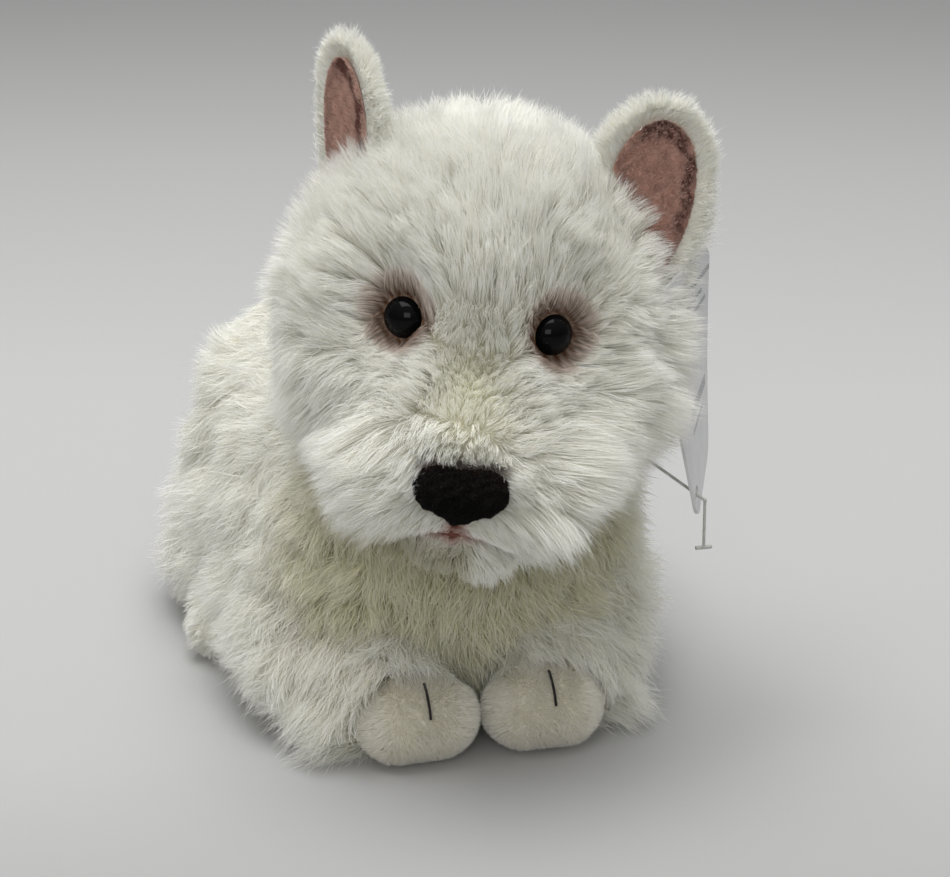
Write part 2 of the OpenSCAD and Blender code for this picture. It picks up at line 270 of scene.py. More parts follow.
def plain_material(name, low, high, scale, rough=0.7, bump=0.3, bump_scale=None, spec=0.3, detail=4.0, coat=0.0, tinted=False):
    def build(t, out):
        co = node(t, "ShaderNodeTexCoord")
        nz = node(t, "ShaderNodeTexNoise", Scale=scale, Detail=detail)
        t.links.new(co.outputs["Object"], nz.inputs["Vector"])
        rp = ramp(t, [(0.32, tuple(low)), (0.68, tuple(high))])
        t.links.new(nz.outputs["Fac"], rp.inputs["Fac"])
        p = node(t, "ShaderNodeBsdfPrincipled", Roughness=rough)
        p.inputs["Specular IOR Level"].default_value = spec
        p.inputs["Coat Weight"].default_value = coat
        p.inputs["Coat Roughness"].default_value = 0.03
        if tinted:
            at = node(t, "ShaderNodeAttribute", _attribute_name="tint")
            mix = node(t, "ShaderNodeMix", _data_type="RGBA", _blend_type="MULTIPLY")
            mix.inputs[0].default_value = 1.0
            t.links.new(rp.outputs["Color"], mix.inputs[6])
            t.links.new(at.outputs["Color"], mix.inputs[7])
            t.links.new(mix.outputs[2], p.inputs["Base Color"])
        else:
            t.links.new(rp.outputs["Color"], p.inputs["Base Color"])
        if bump:
            n2 = node(t, "ShaderNodeTexNoise", Scale=bump_scale or scale * 3, Detail=3.0)
            t.links.new(co.outputs["Object"], n2.inputs["Vector"])
            b = node(t, "ShaderNodeBump", Strength=bump, Distance=0.0005)
            t.links.new(n2.outputs["Fac"], b.inputs["Height"])
            t.links.new(b.outputs["Normal"], p.inputs["Normal"])
        t.links.new(p.outputs[0], out.inputs["Surface"])
    return material(name, build)


M_FUR = fur_material("long_pile")
M_PILE = fur_material("short_pile", 0.3, 0.75)
M_NAP = fur_material("ear_nap", 0.25, 0.8)
# the backing is a darker, yellower cream than the fur: the backing is real, its darkness is painted shade for the gaps
# between strands
M_BACK = plain_material("pile_backing", (0.74, 0.71, 0.60), (0.86, 0.84, 0.75), 500, 0.95, 0.5, tinted=True)
M_KNIT = plain_material("neck_backing", (0.74, 0.71, 0.60), (0.86, 0.84, 0.75), 500, 0.95, 0.5)
M_PAWBACK = plain_material("paw_backing", (0.74, 0.72, 0.63), (0.86, 0.84, 0.77), 900, 0.95, 0.5)
M_EARBACK = plain_material("ear_backing", (0.60, 0.38, 0.31), (0.70, 0.46, 0.39), 700, 0.95, 0.5)
M_EYE = plain_material("eye_plastic", (0.002, 0.002, 0.0025), (0.004, 0.004, 0.004), 60, 0.05, 0.0, spec=0.10)
M_NOSE = plain_material("nose_flock", (0.004, 0.004, 0.004), (0.016, 0.015, 0.014), 1500, 0.95, 1.0, 2500, spec=0.1)
M_FLOCK = fur_material("nose_flock_fibre", 0.05, 0.8)
M_THREAD = plain_material("black_thread", (0.008, 0.007, 0.007), (0.03, 0.026, 0.024), 2500, 0.6, 0.6)
M_WHITE_THREAD = plain_material("white_thread", (0.62, 0.60, 0.54), (0.78, 0.76, 0.70), 2500, 0.7, 0.6)
M_LIP = plain_material("lip_thread", (0.16, 0.055, 0.035), (0.30, 0.12, 0.085), 1800, 0.7, 0.8)
M_FIBRE = plain_material("fibre_fill", (0.66, 0.66, 0.64), (0.88, 0.88, 0.86), 160, 0.95, 1.0)
M_WASHER = plain_material("washer_plastic", (0.70, 0.70, 0.66), (0.78, 0.78, 0.75), 400, 0.45, 0.15)
M_PELLET = plain_material("pellet_bag_mesh", (0.50, 0.50, 0.48), (0.74, 0.73, 0.70), 350, 0.8, 1.0)
M_NYLON = plain_material("nylon", (0.40, 0.40, 0.37), (0.55, 0.55, 0.52), 500, 0.3, 0.1, spec=0.5)
M_LABEL = plain_material("woven_label", (0.74, 0.74, 0.72), (0.86, 0.86, 0.84), 2200, 0.6, 0.6)

CREAM = np.array([0.976, 0.978, 0.970])
# root colours of the strands, darker and yellower than the tips: painted shade deep in the pile
ROOT_SHADE = np.array([0.95, 0.948, 0.905])
ROOT_SHADE_BODY = np.array([0.925, 0.915, 0.835])


# ----------------------------------------------------------------- fur
def seed(V, T, dens):
    a, b, c = V[T[:, 0]], V[T[:, 1]], V[T[:, 2]]
    cr = np.cross(b - a, c - a)
    ar = 0.5 * np.linalg.norm(cr, axis=1)
    w = ar * dens((a + b + c) / 3)
    n = int(w.sum())
    cum = np.cumsum(w)
    i = np.minimum(np.searchsorted(cum, rng.random(n) * cum[-1]), len(T) - 1)
    u, v = rng.random(n), rng.random(n)
    flip = u + v > 1
    u, v = np.where(flip, 1 - u, u), np.where(flip, 1 - v, v)
    P = a[i] + u[:, None] * (b - a)[i] + v[:, None] * (c - a)[i]
    return P


def nearest(P, G):
    kd = kdtree.KDTree(len(G))
    for i, g in enumerate(G):
        kd.insert(g, i)
    kd.balance()
    return np.fromiter((kd.find(p)[1] for p in P), np.int64, len(P))


class Comb:
    """Hair direction, length and curl at any point, from a few combed locks."""

    def __init__(self, rows, size):
        r = np.array(rows, float)
        self.p, self.f, self.l, self.c = r[:, :3], unit(r[:, 3:6]), r[:, 6], r[:, 7]
        self.s = size

    def at(self, p):
        F = np.zeros_like(p)
        L, C, W = np.zeros(len(p)), np.zeros(len(p)), np.zeros(len(p))
        for q, f, l, c in zip(self.p, self.f, self.l, self.c):
            d2 = ((p - q) ** 2).sum(1) / self.s**2
            w = 1 / (d2 + 0.12) ** 3
            F += w[:, None] * f
            L += w * l
            C += w * c
            W += w
        return unit(F), L / W, C / W


def locks(P, N, F, L, C, K, bend, droop, jitter, seed_):
    """Lines of K segments from P, leaving along N and turning to F."""
    r = np.random.default_rng(seed_)
    n = len(P)
    t_side = unit(np.cross(N, F) + 1e-6)
    w = wave(P, 26, seed_ + 1)
    F = unit(F + (jitter * (0.45 + C))[:, None] * r.normal(size=(n, 3)) + 0.3 * C[:, None] * w)
    B = unit(np.cross(F, r.normal(size=(n, 3)) + 1.2 * w)) * (bend * C * r.uniform(0.3, 1.6, n))[:, None]
    D0 = unit(F + 0.5 * N)
    pts = [P]
    seg = (L * r.uniform(0.75, 1.15, n) / K)[:, None]
    for k in range(K):
        t = (k + 0.5) / K
        d = unit(D0 * (1 - t) + F * t + B * (t - 0.25) * 1.6 + np.array([0, 0, -droop * t * t]))
        pts.append(pts[-1] + d * seg)
    S = np.stack(pts, 1)
    ph, fr = r.uniform(0, 6.28, n), r.uniform(0.7, 1.5, n)
    t = np.linspace(0, 1, K + 1)
    amp = (C * L * 0.055)[:, None] * t[None]
    ang = ph[:, None] + 6.28 * fr[:, None] * t[None]
    u = t_side
    v = unit(np.cross(u, F))
    return S + (amp * np.sin(ang))[..., None] * u[:, None] + (amp * np.cos(ang))[..., None] * v[:, None]


def gather(S, G, idx, amount, spread):
    """Draws lines S to their guides in G, more towards the tips."""
    K = S.shape[1] - 1
    t = np.linspace(0, 1, K + 1)
    off = S[:, :1] - G[idx][:, :1]
    target = G[idx] + off * (1 - t * (1 - spread))[None, :, None]
    c = (amount * t**0.7)
    c = c[None] if c.ndim == 1 else c
    return S + (target - S) * c[..., None]


LOW = np.array([-81.0, -60.5, 0.35])
HIGH = np.array([98.0, 211.0, 222.0])


def clear_of(S, forms, lift):
    """Pushes every point after the root out of the forms and off the floor."""
    K = S.shape[1] - 1
    for k in range(1, K + 1):
        p = S[:, k]
        for sd in forms:
            d = sd(p)
            want = lift * min(1.0, 0.35 + k / K)
            low = d < want
            if low.any():
                q = p[low]
                p[low] = q + slope(sd, q) * (want - d[low])[:, None]
        S[:, k] = np.clip(p, LOW, HIGH)
    S[:, 0] = np.clip(S[:, 0], LOW, HIGH)
    return S


def ribbons(S, N, width, facing=0.8):
    """Flat tapering strands along the lines S, flat side outward."""
    n, K1, _ = S.shape
    K = K1 - 1
    d = np.empty_like(S)
    d[:, 1:-1] = S[:, 2:] - S[:, :-2]
    d[:, 0], d[:, -1] = S[:, 1] - S[:, 0], S[:, -1] - S[:, -2]
    d = unit(d)
    r = unit(N * facing + rng.normal(size=(n, 3)) * 0.55)
    side = unit(np.cross(d, r[:, None]))
    t = np.linspace(0, 1, K1)
    w = width[:, None] * (1 - 0.55 * t[None] ** 1.5) * np.where(t < 0.2, 0.75 + t * 1.25, 1)[None] / 2
    a, b = S - side * w[..., None], S + side * w[..., None]
    V = np.empty((n, 2 * K + 1, 3))
    V[:, 0:2 * K:2] = a[:, :K]
    V[:, 1:2 * K:2] = b[:, :K]
    V[:, 2 * K] = S[:, K]
    tri = []
    for k in range(K - 1):
        i = 2 * k
        tri += [[i, i + 1, i + 3], [i, i + 3, i + 2]]
    tri.append([2 * K - 2, 2 * K - 1, 2 * K])
    T = np.arange(n)[:, None, None] * (2 * K + 1) + np.array(tri)[None]
    along = np.empty(2 * K + 1)
    along[0:2 * K:2] = t[:K]
    along[1:2 * K:2] = t[:K]
    along[2 * K] = 1
    return V, T, along


def coat(name, body, V, T, dens, comb, forms, *, head=False, K=5, big=7.0, small=2.3, c1=0.55, c2=0.72, bend=1.0,
         droop=0.25, jitter=0.16, width=0.30, lift=1.2, colour=None, limit=190000, mat=None, slot="white_pile",
         keep=None, shape=None, split=None, seed_=0, area=None, root_shade=ROOT_SHADE, base=CREAM, tipw=1.0):
    """Grows a coat on a skin, and makes it as one or more pieces."""
    P = seed(V, T, dens)
    if keep is not None:
        P = P[keep(P)]
    sd = forms[0]
    out = {}
    total = float(np.linalg.norm(np.cross(V[T[:, 1]] - V[T[:, 0]], V[T[:, 2]] - V[T[:, 0]]), axis=1).sum()) / 2
    order = rng.permutation(len(P))
    m1 = max(8, min(int(total / big**2), len(P)))
    m2 = max(16, min(int(total / small**2), len(P)))
    G1, G2 = P[order[:m1]], P[order[-m2:]]

    def grow(Q, K, jit, sd_no):
        q = to_head(Q) if head else Q
        Fl, L, C = comb.at(q)
        if shape is not None:
            Fl, L, C = shape(q, Fl, L, C)
        N = slope(sd, Q)
        F = Fl @ RH.T if head else Fl
        return N, F, L, C, locks(Q, N, F, L, C, K, bend, droop, jit, sd_no)

    g1 = grow(G1, K, jitter * 1.4, seed_ + 1)[-1]
    g2 = grow(G2, K, jitter * 0.9, seed_ + 2)[-1]
    g2 = gather(g2, g1, nearest(G2, G1), c1 * np.ones(K + 1), 0.25)
    N, F, L, C, S = grow(P, K, jitter * 0.8, seed_ + 3)
    loose = rng.random(len(P)) ** 2.2
    S = gather(S, g2, nearest(P, G2), (c2 * (1 - 0.75 * loose))[:, None] * np.ones(K + 1)[None], 0.2)
    S = clear_of(S, forms, lift)
    wd = width * rng.uniform(0.7, 1.25, len(P))
    Vr, Tr, along = ribbons(S, N, wd)
    n = len(P)
    tone = rng.normal(0.99, 0.035, n)[:, None, None]
    warm = rng.uniform(0, 1, n)[:, None, None]
    # each strand runs from its darker root colour to its tip colour: painted shade deep in the pile
    mixv = (along**0.75)[None, :, None]
    c = (root_shade * (1 - mixv) + base * mixv) * tone
    c = c * (1 - 0.05 * warm * np.array([0.2, 0.5, 1.6]))
    if colour is not None:
        c = colour(Vr, along, P, c)
    c = np.clip(c, 0.001, 0.98)
    uv = np.empty((n, Vr.shape[1], 2))
    uv[..., 0] = rng.random(n)[:, None]
    uv[..., 1] = along[None]
    uv[:, 1:-1:2, 0] = np.minimum(uv[:, 1:-1:2, 0] + 0.002, 1)
    per = Tr.shape[1]
    groups = {name: np.ones(n, bool)} if split is None else split(P)
    made = []
    for gname, mask in groups.items():
        ids = np.flatnonzero(mask)
        if not len(ids):
            continue
        chunks = max(1, math.ceil(len(ids) * per / limit))
        for ci in range(chunks):
            # neighbours stay together: cut along the longest direction
            sub = ids
            if chunks > 1:
                ax = int(np.argmax(P[ids].max(0) - P[ids].min(0)))
                o = ids[np.argsort(P[ids, ax])]
                sub = np.array_split(o, chunks)[ci]
            v = Vr[sub].reshape(-1, 3)
            nv = Vr.shape[1]
            base_t = (Tr[0] - 0)[None] + (np.arange(len(sub)) * nv)[:, None, None]
            made.append(make(gname if chunks == 1 else f"{gname}_{ci + 1}", v, base_t.reshape(-1, 3), mat or M_FUR, body,
                             col=c[sub].reshape(-1, 3), uv=uv[sub].reshape(-1, 2)))
    return made


# -------------------------------------------------------------- landmarks
EYES = {1: np.array([22.0, -40, 5]), -1: np.array([-22.0, -40, 5])}
EYE_N = {s: unit(EYES[s]) for s in EYES}
MUZ = np.array([0.0, -41, -27])
CHIN = np.array([0.0, -43, -50])
NOSE_D = unit(np.array([0, -0.93, -0.37]))
NOSE_BASE = MUZ + NOSE_D * 24.2
NX = np.array([0, -NOSE_D[2], NOSE_D[1]])  # towards the chin, on the face
NX = unit(np.cross(np.array([1.0, 0, 0]), NOSE_D))
if NX[2] > 0:
    NX = -NX
NY = np.array([1.0, 0, 0])


def eye_far(q, s):
    """Distance from an eye's axis, in head coordinates."""
    v = q - EYES[s]
    a = v @ EYE_N[s]
    return np.linalg.norm(v - a[..., None] * EYE_N[s], axis=-1) + 60 * (np.abs(a) > 25)


def nose_far(q):
    v = q - NOSE_BASE
    x, y, z = v @ NX, v @ NY, v @ NOSE_D
    # distance outside a rounded triangle, point down
    e = np.maximum(np.abs(y) * 0.86 + (x + 2.5) * 0.5 - 6.6, -x - 8.6)
    return np.maximum(e, np.hypot(x, y) - 12.9) + 20 * (np.abs(z) > 16)


def on_head_skin(q, lift=0.0):
    for _ in range(4):
        q = q - slope(sd_head, q) * (sd_head(q) - lift)[:, None]
    return q


MOUTH = on_head_skin(np.array([(math.sin(a) * 17.0, -42 - math.cos(a) * 15.0, -54.6 + 2.0 * abs(math.sin(a))) for a in np.radians(np.linspace(-42, 42, 15))]))
PHILTRUM = on_head_skin(np.array([(0, -58 + 0.45 * k, -46.0 - 0.95 * k) for k in range(10)], float))


def mouth_far(q):
    d = np.full(q.shape[:-1], 1e9)
    for line in (MOUTH, PHILTRUM[::2]):
        for a, b in zip(line[:-1], line[1:]):
            d = np.minimum(d, rod(q, a, b, 0, 0))
    return d


# ----------------------------------------------------------------- head
print("head")
HV, HT = swell(6, (0, -14, -8), sd_head)
HVb = from_head(HV)
mid = HV[HT].mean(1)
muz = mid[:, 1] < -43
chin = (~muz) & (mid[:, 2] < -37)
left = (~muz) & (~chin) & (mid[:, 0] > 14)
right = (~muz) & (~chin) & (mid[:, 0] < -14)
gus = ~(muz | chin | left | right)
HEAD_COMB = Comb([
    # x, y, z, direction, length, curl
    (-18, -22, 35, -.48, .05, .80, 23, .45), (0, -25, 37, -.32, .05, .86, 23, .45), (18, -22, 35, -.08, .02, .92, 22, .45),
    (33, -18, 24, .20, -.10, .85, 15, .45), (-33, -18, 24, -.60, .0, .75, 20, .45),
    (0, 0, 45, -.25, .75, .45, 22, .5), (-22, 5, 38, -.45, .65, .45, 21, .5), (22, 5, 38, .15, .70, .50, 21, .5),
    (0, 28, 34, -.10, .80, .35, 23, .6), (-28, 24, 26, -.5, .7, .2, 23, .6), (28, 24, 26, .4, .7, .3, 23, .6),
    (-10, -38, 20, -.38, -.08, .86, 20, .4), (10, -38, 20, -.10, -.12, .92, 20, .4),
    (-25, -34, 19, -.50, -.10, .75, 17, .4), (25, -34, 19, .22, -.12, .88, 17, .4),
    (0, -44, 8, -.12, -.35, .88, 11, .35), (0, -46, 0, -.1, -.55, .80, 7, .3), (0, -50, -8, 0, -.65, .75, 5, .3),
    (0, -58, -16, 0, -.45, .88, 4.4, .3), (5, -56, -13, .4, -.45, .80, 4.6, .3), (-5, -56, -13, -.4, -.45, .80, 5, .3),
    (-6, -61, -25, -.30, -.86, -.35, 9.5, .5), (5, -61, -25, .25, -.88, -.30, 6.5, .5), (0, -60, -22, -.15, -.90, -.10, 6, .4), (-7, -58, -20, -.5, -.80, .05, 9, .5),
    (-38, -22, 6, -.88, -.15, .30, 20, .4), (38, -22, 6, .80, -.35, .28, 14, .3),
    (-23, -39, -7, -.90, -.30, -.10, 17, .7), (-13, -46, -11, -.85, -.48, .10, 13, .8), (-30, -32, -12, -.92, -.20, -.28, 22, .5),
    (23, -39, -7, .88, -.35, .32, 18, .4), (13, -47, -12, .82, -.50, .25, 14, .5), (30, -32, -12, .96, -.22, .14, 26, .25),
    (-43, -6, -8, -.82, .0, -.56, 22, .5), (-36, -20, -22, -.84, -.18, -.50, 27, .4), (-24, -34, -26, -.88, -.22, -.42, 28, .4),
    (43, -6, -8, .99, -.05, .02, 26, .3), (36, -22, -20, .98, -.16, .00, 32, .25), (24, -36, -22, .96, -.25, .08, 32, .25),
    (-15, -50, -28, -.90, -.30, -.30, 28, .4), (-13, -52, -38, -.72, -.26, -.62, 24, .45), (-8, -58, -28, -.86, -.46, -.15, 16, .45),
    (15, -50, -28, .96, -.28, .06, 31, .25), (13, -54, -38, .88, -.32, -.28, 27, .35), (8, -58, -28, .86, -.48, .05, 16, .4),
    (-5, -60, -40, -.70, -.50, -.45, 6, .4), (5, -60, -40, .70, -.50, -.45, 7, .4), (0, -61, -42, 0, -.80, -.55, 3.0, .3),
    (0, -52, -57, .1, -.55, -.82, 7, .6), (-9, -47, -56, -.35, -.40, -.85, 9, .6), (9, -47, -56, .55, -.45, -.72, 16, .6), (0, -40, -60, 0, -.3, -.95, 7, .5),
    (-30, -14, -34, -.66, -.15, -.74, 24, .5), (30, -14, -34, .82, -.15, -.52, 27, .4), (0, -24, -44, 0, -.30, -.95, 12, .6),
    (0, 45, 0, 0, .30, -.90, 22, .6), (-32, 32, 0, -.50, .30, -.78, 22, .6), (32, 32, 0, .55, .30, -.74, 22, .6),
    (0, 36, -26, 0, .20, -.95, 20, .6), (-40, 16, 18, -.6, .6, .1, 20, .5), (40, 16, 18, .6, .6, .2, 20, .5),
    (-44, 6, -2, -.75, .25, -.6, 20, .5), (44, 6, -2, .88, .2, -.35, 22, .5),
], 11)


def head_shape(q, F, L, C):
    for s in (1, -1):
        d = eye_far(q, s)
        L = L * (0.26 + 0.74 * step(5.5, 17, d))
        C = C * (0.3 + 0.7 * step(6, 16, d))
        # hair leaves the rim of the eye outward
        v = q - EYES[s]
        v = unit(v - (v @ EYE_N[s])[:, None] * EYE_N[s])
        w = (1 - step(6, 11, d))[:, None]
        F = unit(F * (1 - 0.75 * w) + (0.8 * v + 0.45 * EYE_N[s]) * w * 0.75)
    d = nose_far(q)
    top = (q[:, 2] > -34).astype(float)
    L = L * np.where(top > 0, 0.95 + 0.05 * step(0.5, 7, d), 0.35 + 0.65 * step(0.5, 7, d))
    d = mouth_far(q)
    L = L * (0.22 + 0.78 * step(1.0, 6.5, d))
    return F, L, C


def head_density(q):
    q = to_head(q)
    n = np.full(len(q), 6.0)
    for s in (1, -1):
        n *= eye_far(q, s) > 6.0
        n = np.where(eye_far(q, s) < 11, n * 1.5, n)
    n *= nose_far(q) > np.where(q[:, 2] > -33, -2.2, -0.6)
    n = np.where((q[:, 1] < -40) & (q[:, 2] < -5) & (np.abs(q[:, 0]) < 12), n * 1.5, n)
    n *= mouth_far(q) > 1.0
    back = q[:, 1] > 10
    n = np.where(back, n * 0.62, n)
    # nothing grows where the head sits on the neck
    c, s_ = math.cos(math.radians(40)), math.sin(math.radians(40))
    z = -q[:, 1] * s_ * -1 * 0 + (q[:, 2] * c + q[:, 1] * -s_)
    n *= ~((z < -30) & (q[:, 1] > -5) & (sd_torso(from_head(q)) < -2))
    return n


BROWN = srgb(104, 62, 24)
RUST = srgb(184, 130, 82)


def paint(q, c):
    """The airbrushed and dyed places on the face, in head coordinates."""
    for s in (1, -1):
        d = eye_far(q, s)
        v = q - EYES[s]
        up = np.clip((v[..., 2] * 0.7 + s * v[..., 0] * 0.45) / 9, -0.6, 1)
        w = np.clip(1 - (d - 6.8) / (5.0 + 2.6 * up), 0, 1) ** 0.8
        w = w * (0.86 + 0.14 * np.sin(q[..., 0] * 2.1 + q[..., 2] * 1.7))
        w = w[..., None]
        c = c * (1 - w) + (BROWN * w + RUST * (1 - w)) * w
    w = (np.clip(1 - nose_far(q) / 3.4, 0, 1) ** 1.5 * 0.75 * (q[..., 2] < -27))[..., None]
    c = c * (1 - w) + srgb(84, 50, 38) * w
    w = (np.clip(1 - (mouth_far(q) - 0.6) / 3.8, 0, 1) ** 1.1 * 0.85)[..., None]
    return c * (1 - w) + srgb(172, 104, 88) * w


def head_colour(V, along, P, c):
    q = to_head(V)
    # the bridge is a shorter, slightly yellower pile
    b = np.exp(-((q[..., 0] / 9) ** 2 + ((q[..., 2] + 10) / 12) ** 2)) * (q[..., 1] < -38)
    # the lower chin darker and olive, except the white tufts at the right: painted shade under the head
    low = step(-52, -60, q[..., 2])[..., None]
    tuft = np.clip((q[..., 0] - 3) / 5, 0, 1)[..., None]
    c = c * (1 - 0.03 * b[..., None] * np.array([0.2, 0.1, 1.5])) * (1 - low * (1 - tuft) * np.array([0.26, 0.27, 0.37]))
    return paint(q, c)


for nm, mask, nd in (("skin_head_left", left, "head_side_panel_left"), ("skin_head_right", right, "head_side_panel_right"),
                     ("skin_head_gusset", gus, "head_gusset"), ("skin_muzzle", muz, "muzzle_panel"), ("skin_chin", chin, "chin_panel")):
    v, t = part_of(HVb, HT, mask)
    o = make(nm, v, t, M_BACK, "head", col=paint(to_head(v), np.ones((len(v), 3))))
    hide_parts(nd)

def head_split(P):
    q = to_head(P)
    mz = q[:, 1] < -43
    ch = (~mz) & (q[:, 2] < -37)
    lf = (~mz) & (~ch) & (q[:, 0] > 14)
    rt = (~mz) & (~ch) & (q[:, 0] < -14)
    return {"fur_head_left": lf, "fur_head_right": rt, "fur_gusset": ~(mz | ch | lf | rt), "fur_muzzle": mz, "fur_chin": ch}


FORELEG = {s: (lambda p, s=s: sd_foreleg(p, s)) for s in (1, -1)}
HINDLEG = {s: (lambda p, s=s: sd_hindleg(p, s)) for s in (1, -1)}

coat("fur_head", "head", HVb, HT, head_density, HEAD_COMB, [sd_head_b], head=True, shape=head_shape,
     colour=head_colour, split=head_split, seed_=100, big=8.5, small=2.3, bend=1.2, droop=0.16, width=0.25, jitter=0.13)

# ---------------------------------------------------------------- torso
print("torso")
TV, TT = swell(6, (2, 93, 55), sd_torso)
mid = TV[TT].mean(1)
low = mid[:, 2] < 21
lf = (~low) & (mid[:, 0] > 2)
for nm, mask, nd in (("skin_back_left", lf, "back_panel_left"), ("skin_back_right", (~low) & (~lf), "back_panel_right"),
                     ("skin_belly", low, "belly_panel")):
    v, t = part_of(TV, TT, mask)
    o = make(nm, v, t, M_BACK, "torso")
    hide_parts(nd)

TORSO_COMB = Comb([
    (2, 12, 50, 0, -.45, -.88, 25, 1.0), (2, 14, 34, 0, -.55, -.80, 22, 1.0), (-20, 18, 60, -.50, -.45, -.75, 22, 1.0), (24, 18, 60, .50, -.45, -.75, 22, 1.0),
    (2, 16, 78, 0, -.60, -.80, 20, 1.0), (-40, 30, 85, -.75, -.25, -.60, 25, .9), (44, 30, 85, .78, -.25, -.55, 26, .9),
    (-52, 64, 62, -.66, -.05, -.74, 23, .8), (56, 64, 62, .68, -.05, -.72, 24, .8),
    (-45, 64, 25, -.90, -.15, -.32, 32, .6), (49, 64, 25, .90, -.15, -.32, 32, .6),
    (-30, 40, 40, -.60, -.50, -.60, 24, 1.0), (34, 40, 40, .60, -.50, -.60, 24, 1.0),
    (2, 64, 108, 0, .85, .15, 20, .7), (-30, 64, 96, -.70, .45, -.05, 19, .8), (34, 64, 96, .70, .45, -.05, 19, .8),
    (2, 122, 112, 0, .90, .02, 20, .7), (-35, 122, 100, -.68, .5, -.10, 19, .8), (39, 122, 100, .68, .5, -.10, 19, .8),
    (-55, 122, 62, -.62, .25, -.72, 23, .8), (59, 122, 62, .62, .25, -.72, 23, .8),
    (-48, 122, 22, -.85, .15, -.40, 26, .8), (52, 122, 22, .85, .15, -.40, 26, .8),
    (2, 178, 60, 0, .60, -.75, 25, .8), (-30, 168, 60, -.45, .60, -.60, 25, .8), (34, 168, 60, .45, .60, -.60, 25, .8),
    (2, 165, 20, 0, .60, -.70, 20, .8), (2, 90, 2, 0, .30, -.60, 5, .3), (2, 40, 12, 0, -.5, -.7, 14, .8),
], 20)


def torso_density(q):
    n = np.full(len(q), 2.5)
    n = np.where(q[:, 1] < 70, 3.1, n)
    n = np.where(q[:, 2] < 6, 0.5, n)
    n *= sd_head_b(q) > -4
    for s in (1, -1):
        n *= sd_foreleg(q, s) > -3
        n *= sd_hindleg(q, s) > -3
    n *= ball(q, (2, 177, 88), 10) > 0
    return n


def torso_split(P):
    lw = P[:, 2] < 21
    l_ = (~lw) & (P[:, 0] > 2)
    return {"fur_back_left": l_, "fur_back_right": (~lw) & (~l_), "fur_belly": lw}


def chest_painted_shade(V, along, P, c):
    # the chest under the chin darker and yellower, most at the roots: painted shade under the head
    w = (step(48, 14, V[..., 1]) * step(96, 76, V[..., 2]))[..., None]
    root = (1 - along)[None, :, None]
    return c * (1 - w * (0.10 + 0.26 * root) * np.array([0.6, 0.65, 1.35]))


coat("fur_torso", "torso", TV, TT, torso_density, TORSO_COMB, [sd_torso, sd_head_b, FORELEG[1], FORELEG[-1]], split=torso_split,
     seed_=200, big=9, small=2.8, bend=1.3, droop=0.45, width=0.32, root_shade=ROOT_SHADE_BODY, colour=chest_painted_shade)

# ----------------------------------------------------------------- legs
print("legs")


def side_rows(rows, s):
    return [(r[0] * s, r[1], r[2], r[3] * s, *r[4:]) for r in rows]


FORE = [
    (50, 45, 34, .85, -.35, -.42, 28, .9), (45, 60, 18, .92, .0, -.28, 28, .8), (45, 32, 16, .82, -.52, -.25, 30, .9),
    (31, 27, 42, .35, -.65, -.65, 24, 1.0), (31, 47, 50, .50, -.30, -.30, 20, .9), (12, 40, 30, -.10, -.55, -.80, 14, .8),
    (30, 17, 26, .62, -.65, -.40, 23, .9), (34, 12, 12, .88, -.46, -.10, 32, .6), (20, 12, 27, .05, -.93, -.22, 20, .7), (29, 10, 24, .45, -.80, -.25, 25, .7), (11, 12, 25, -.12, -.90, -.30, 17, .7),
    (8, 12, 20, -.1, -.8, -.5, 9, .6), (31, 64, 20, .30, .60, -.70, 20, .8),
    (19, -2, 25, 0, -.60, .70, 2.8, .2), (19, -13, 18, 0, -.95, .20, 2.4, .2), (19, -13, 7, 0, -.95, -.20, 2.4, .2),
    (31, -2, 13, .95, -.30, 0, 2.8, .2), (7, -2, 13, -.95, -.30, 0, 2.8, .2), (19, 4, 26, 0, -.8, .4, 6.0, .3),
    (33, 5, 12, .90, -.45, -.05, 12, .5), (19, 0, 1, 0, -.3, -.5, 2, .2),
]
HIND = [
    (57, 138, 31, .85, .10, -.50, 24, .8), (45, 112, 35, .75, -.30, -.50, 22, .8), (31, 160, 31, .40, .70, -.60, 22, .8),
    (31, 138, 54, .50, .20, -.20, 22, .8), (54, 97, 23, .50, -.40, .10, 10, .6), (64, 97, 12, .90, -.20, -.15, 10, .6),
    (56, 74, 12, .10, -.90, .10, 5, .4), (56, 80, 21, .10, -.70, .50, 5, .4), (44, 92, 12, -.70, -.30, -.30, 8, .6), (31, 138, 4, .2, .1, -.9, 4, .3),
]
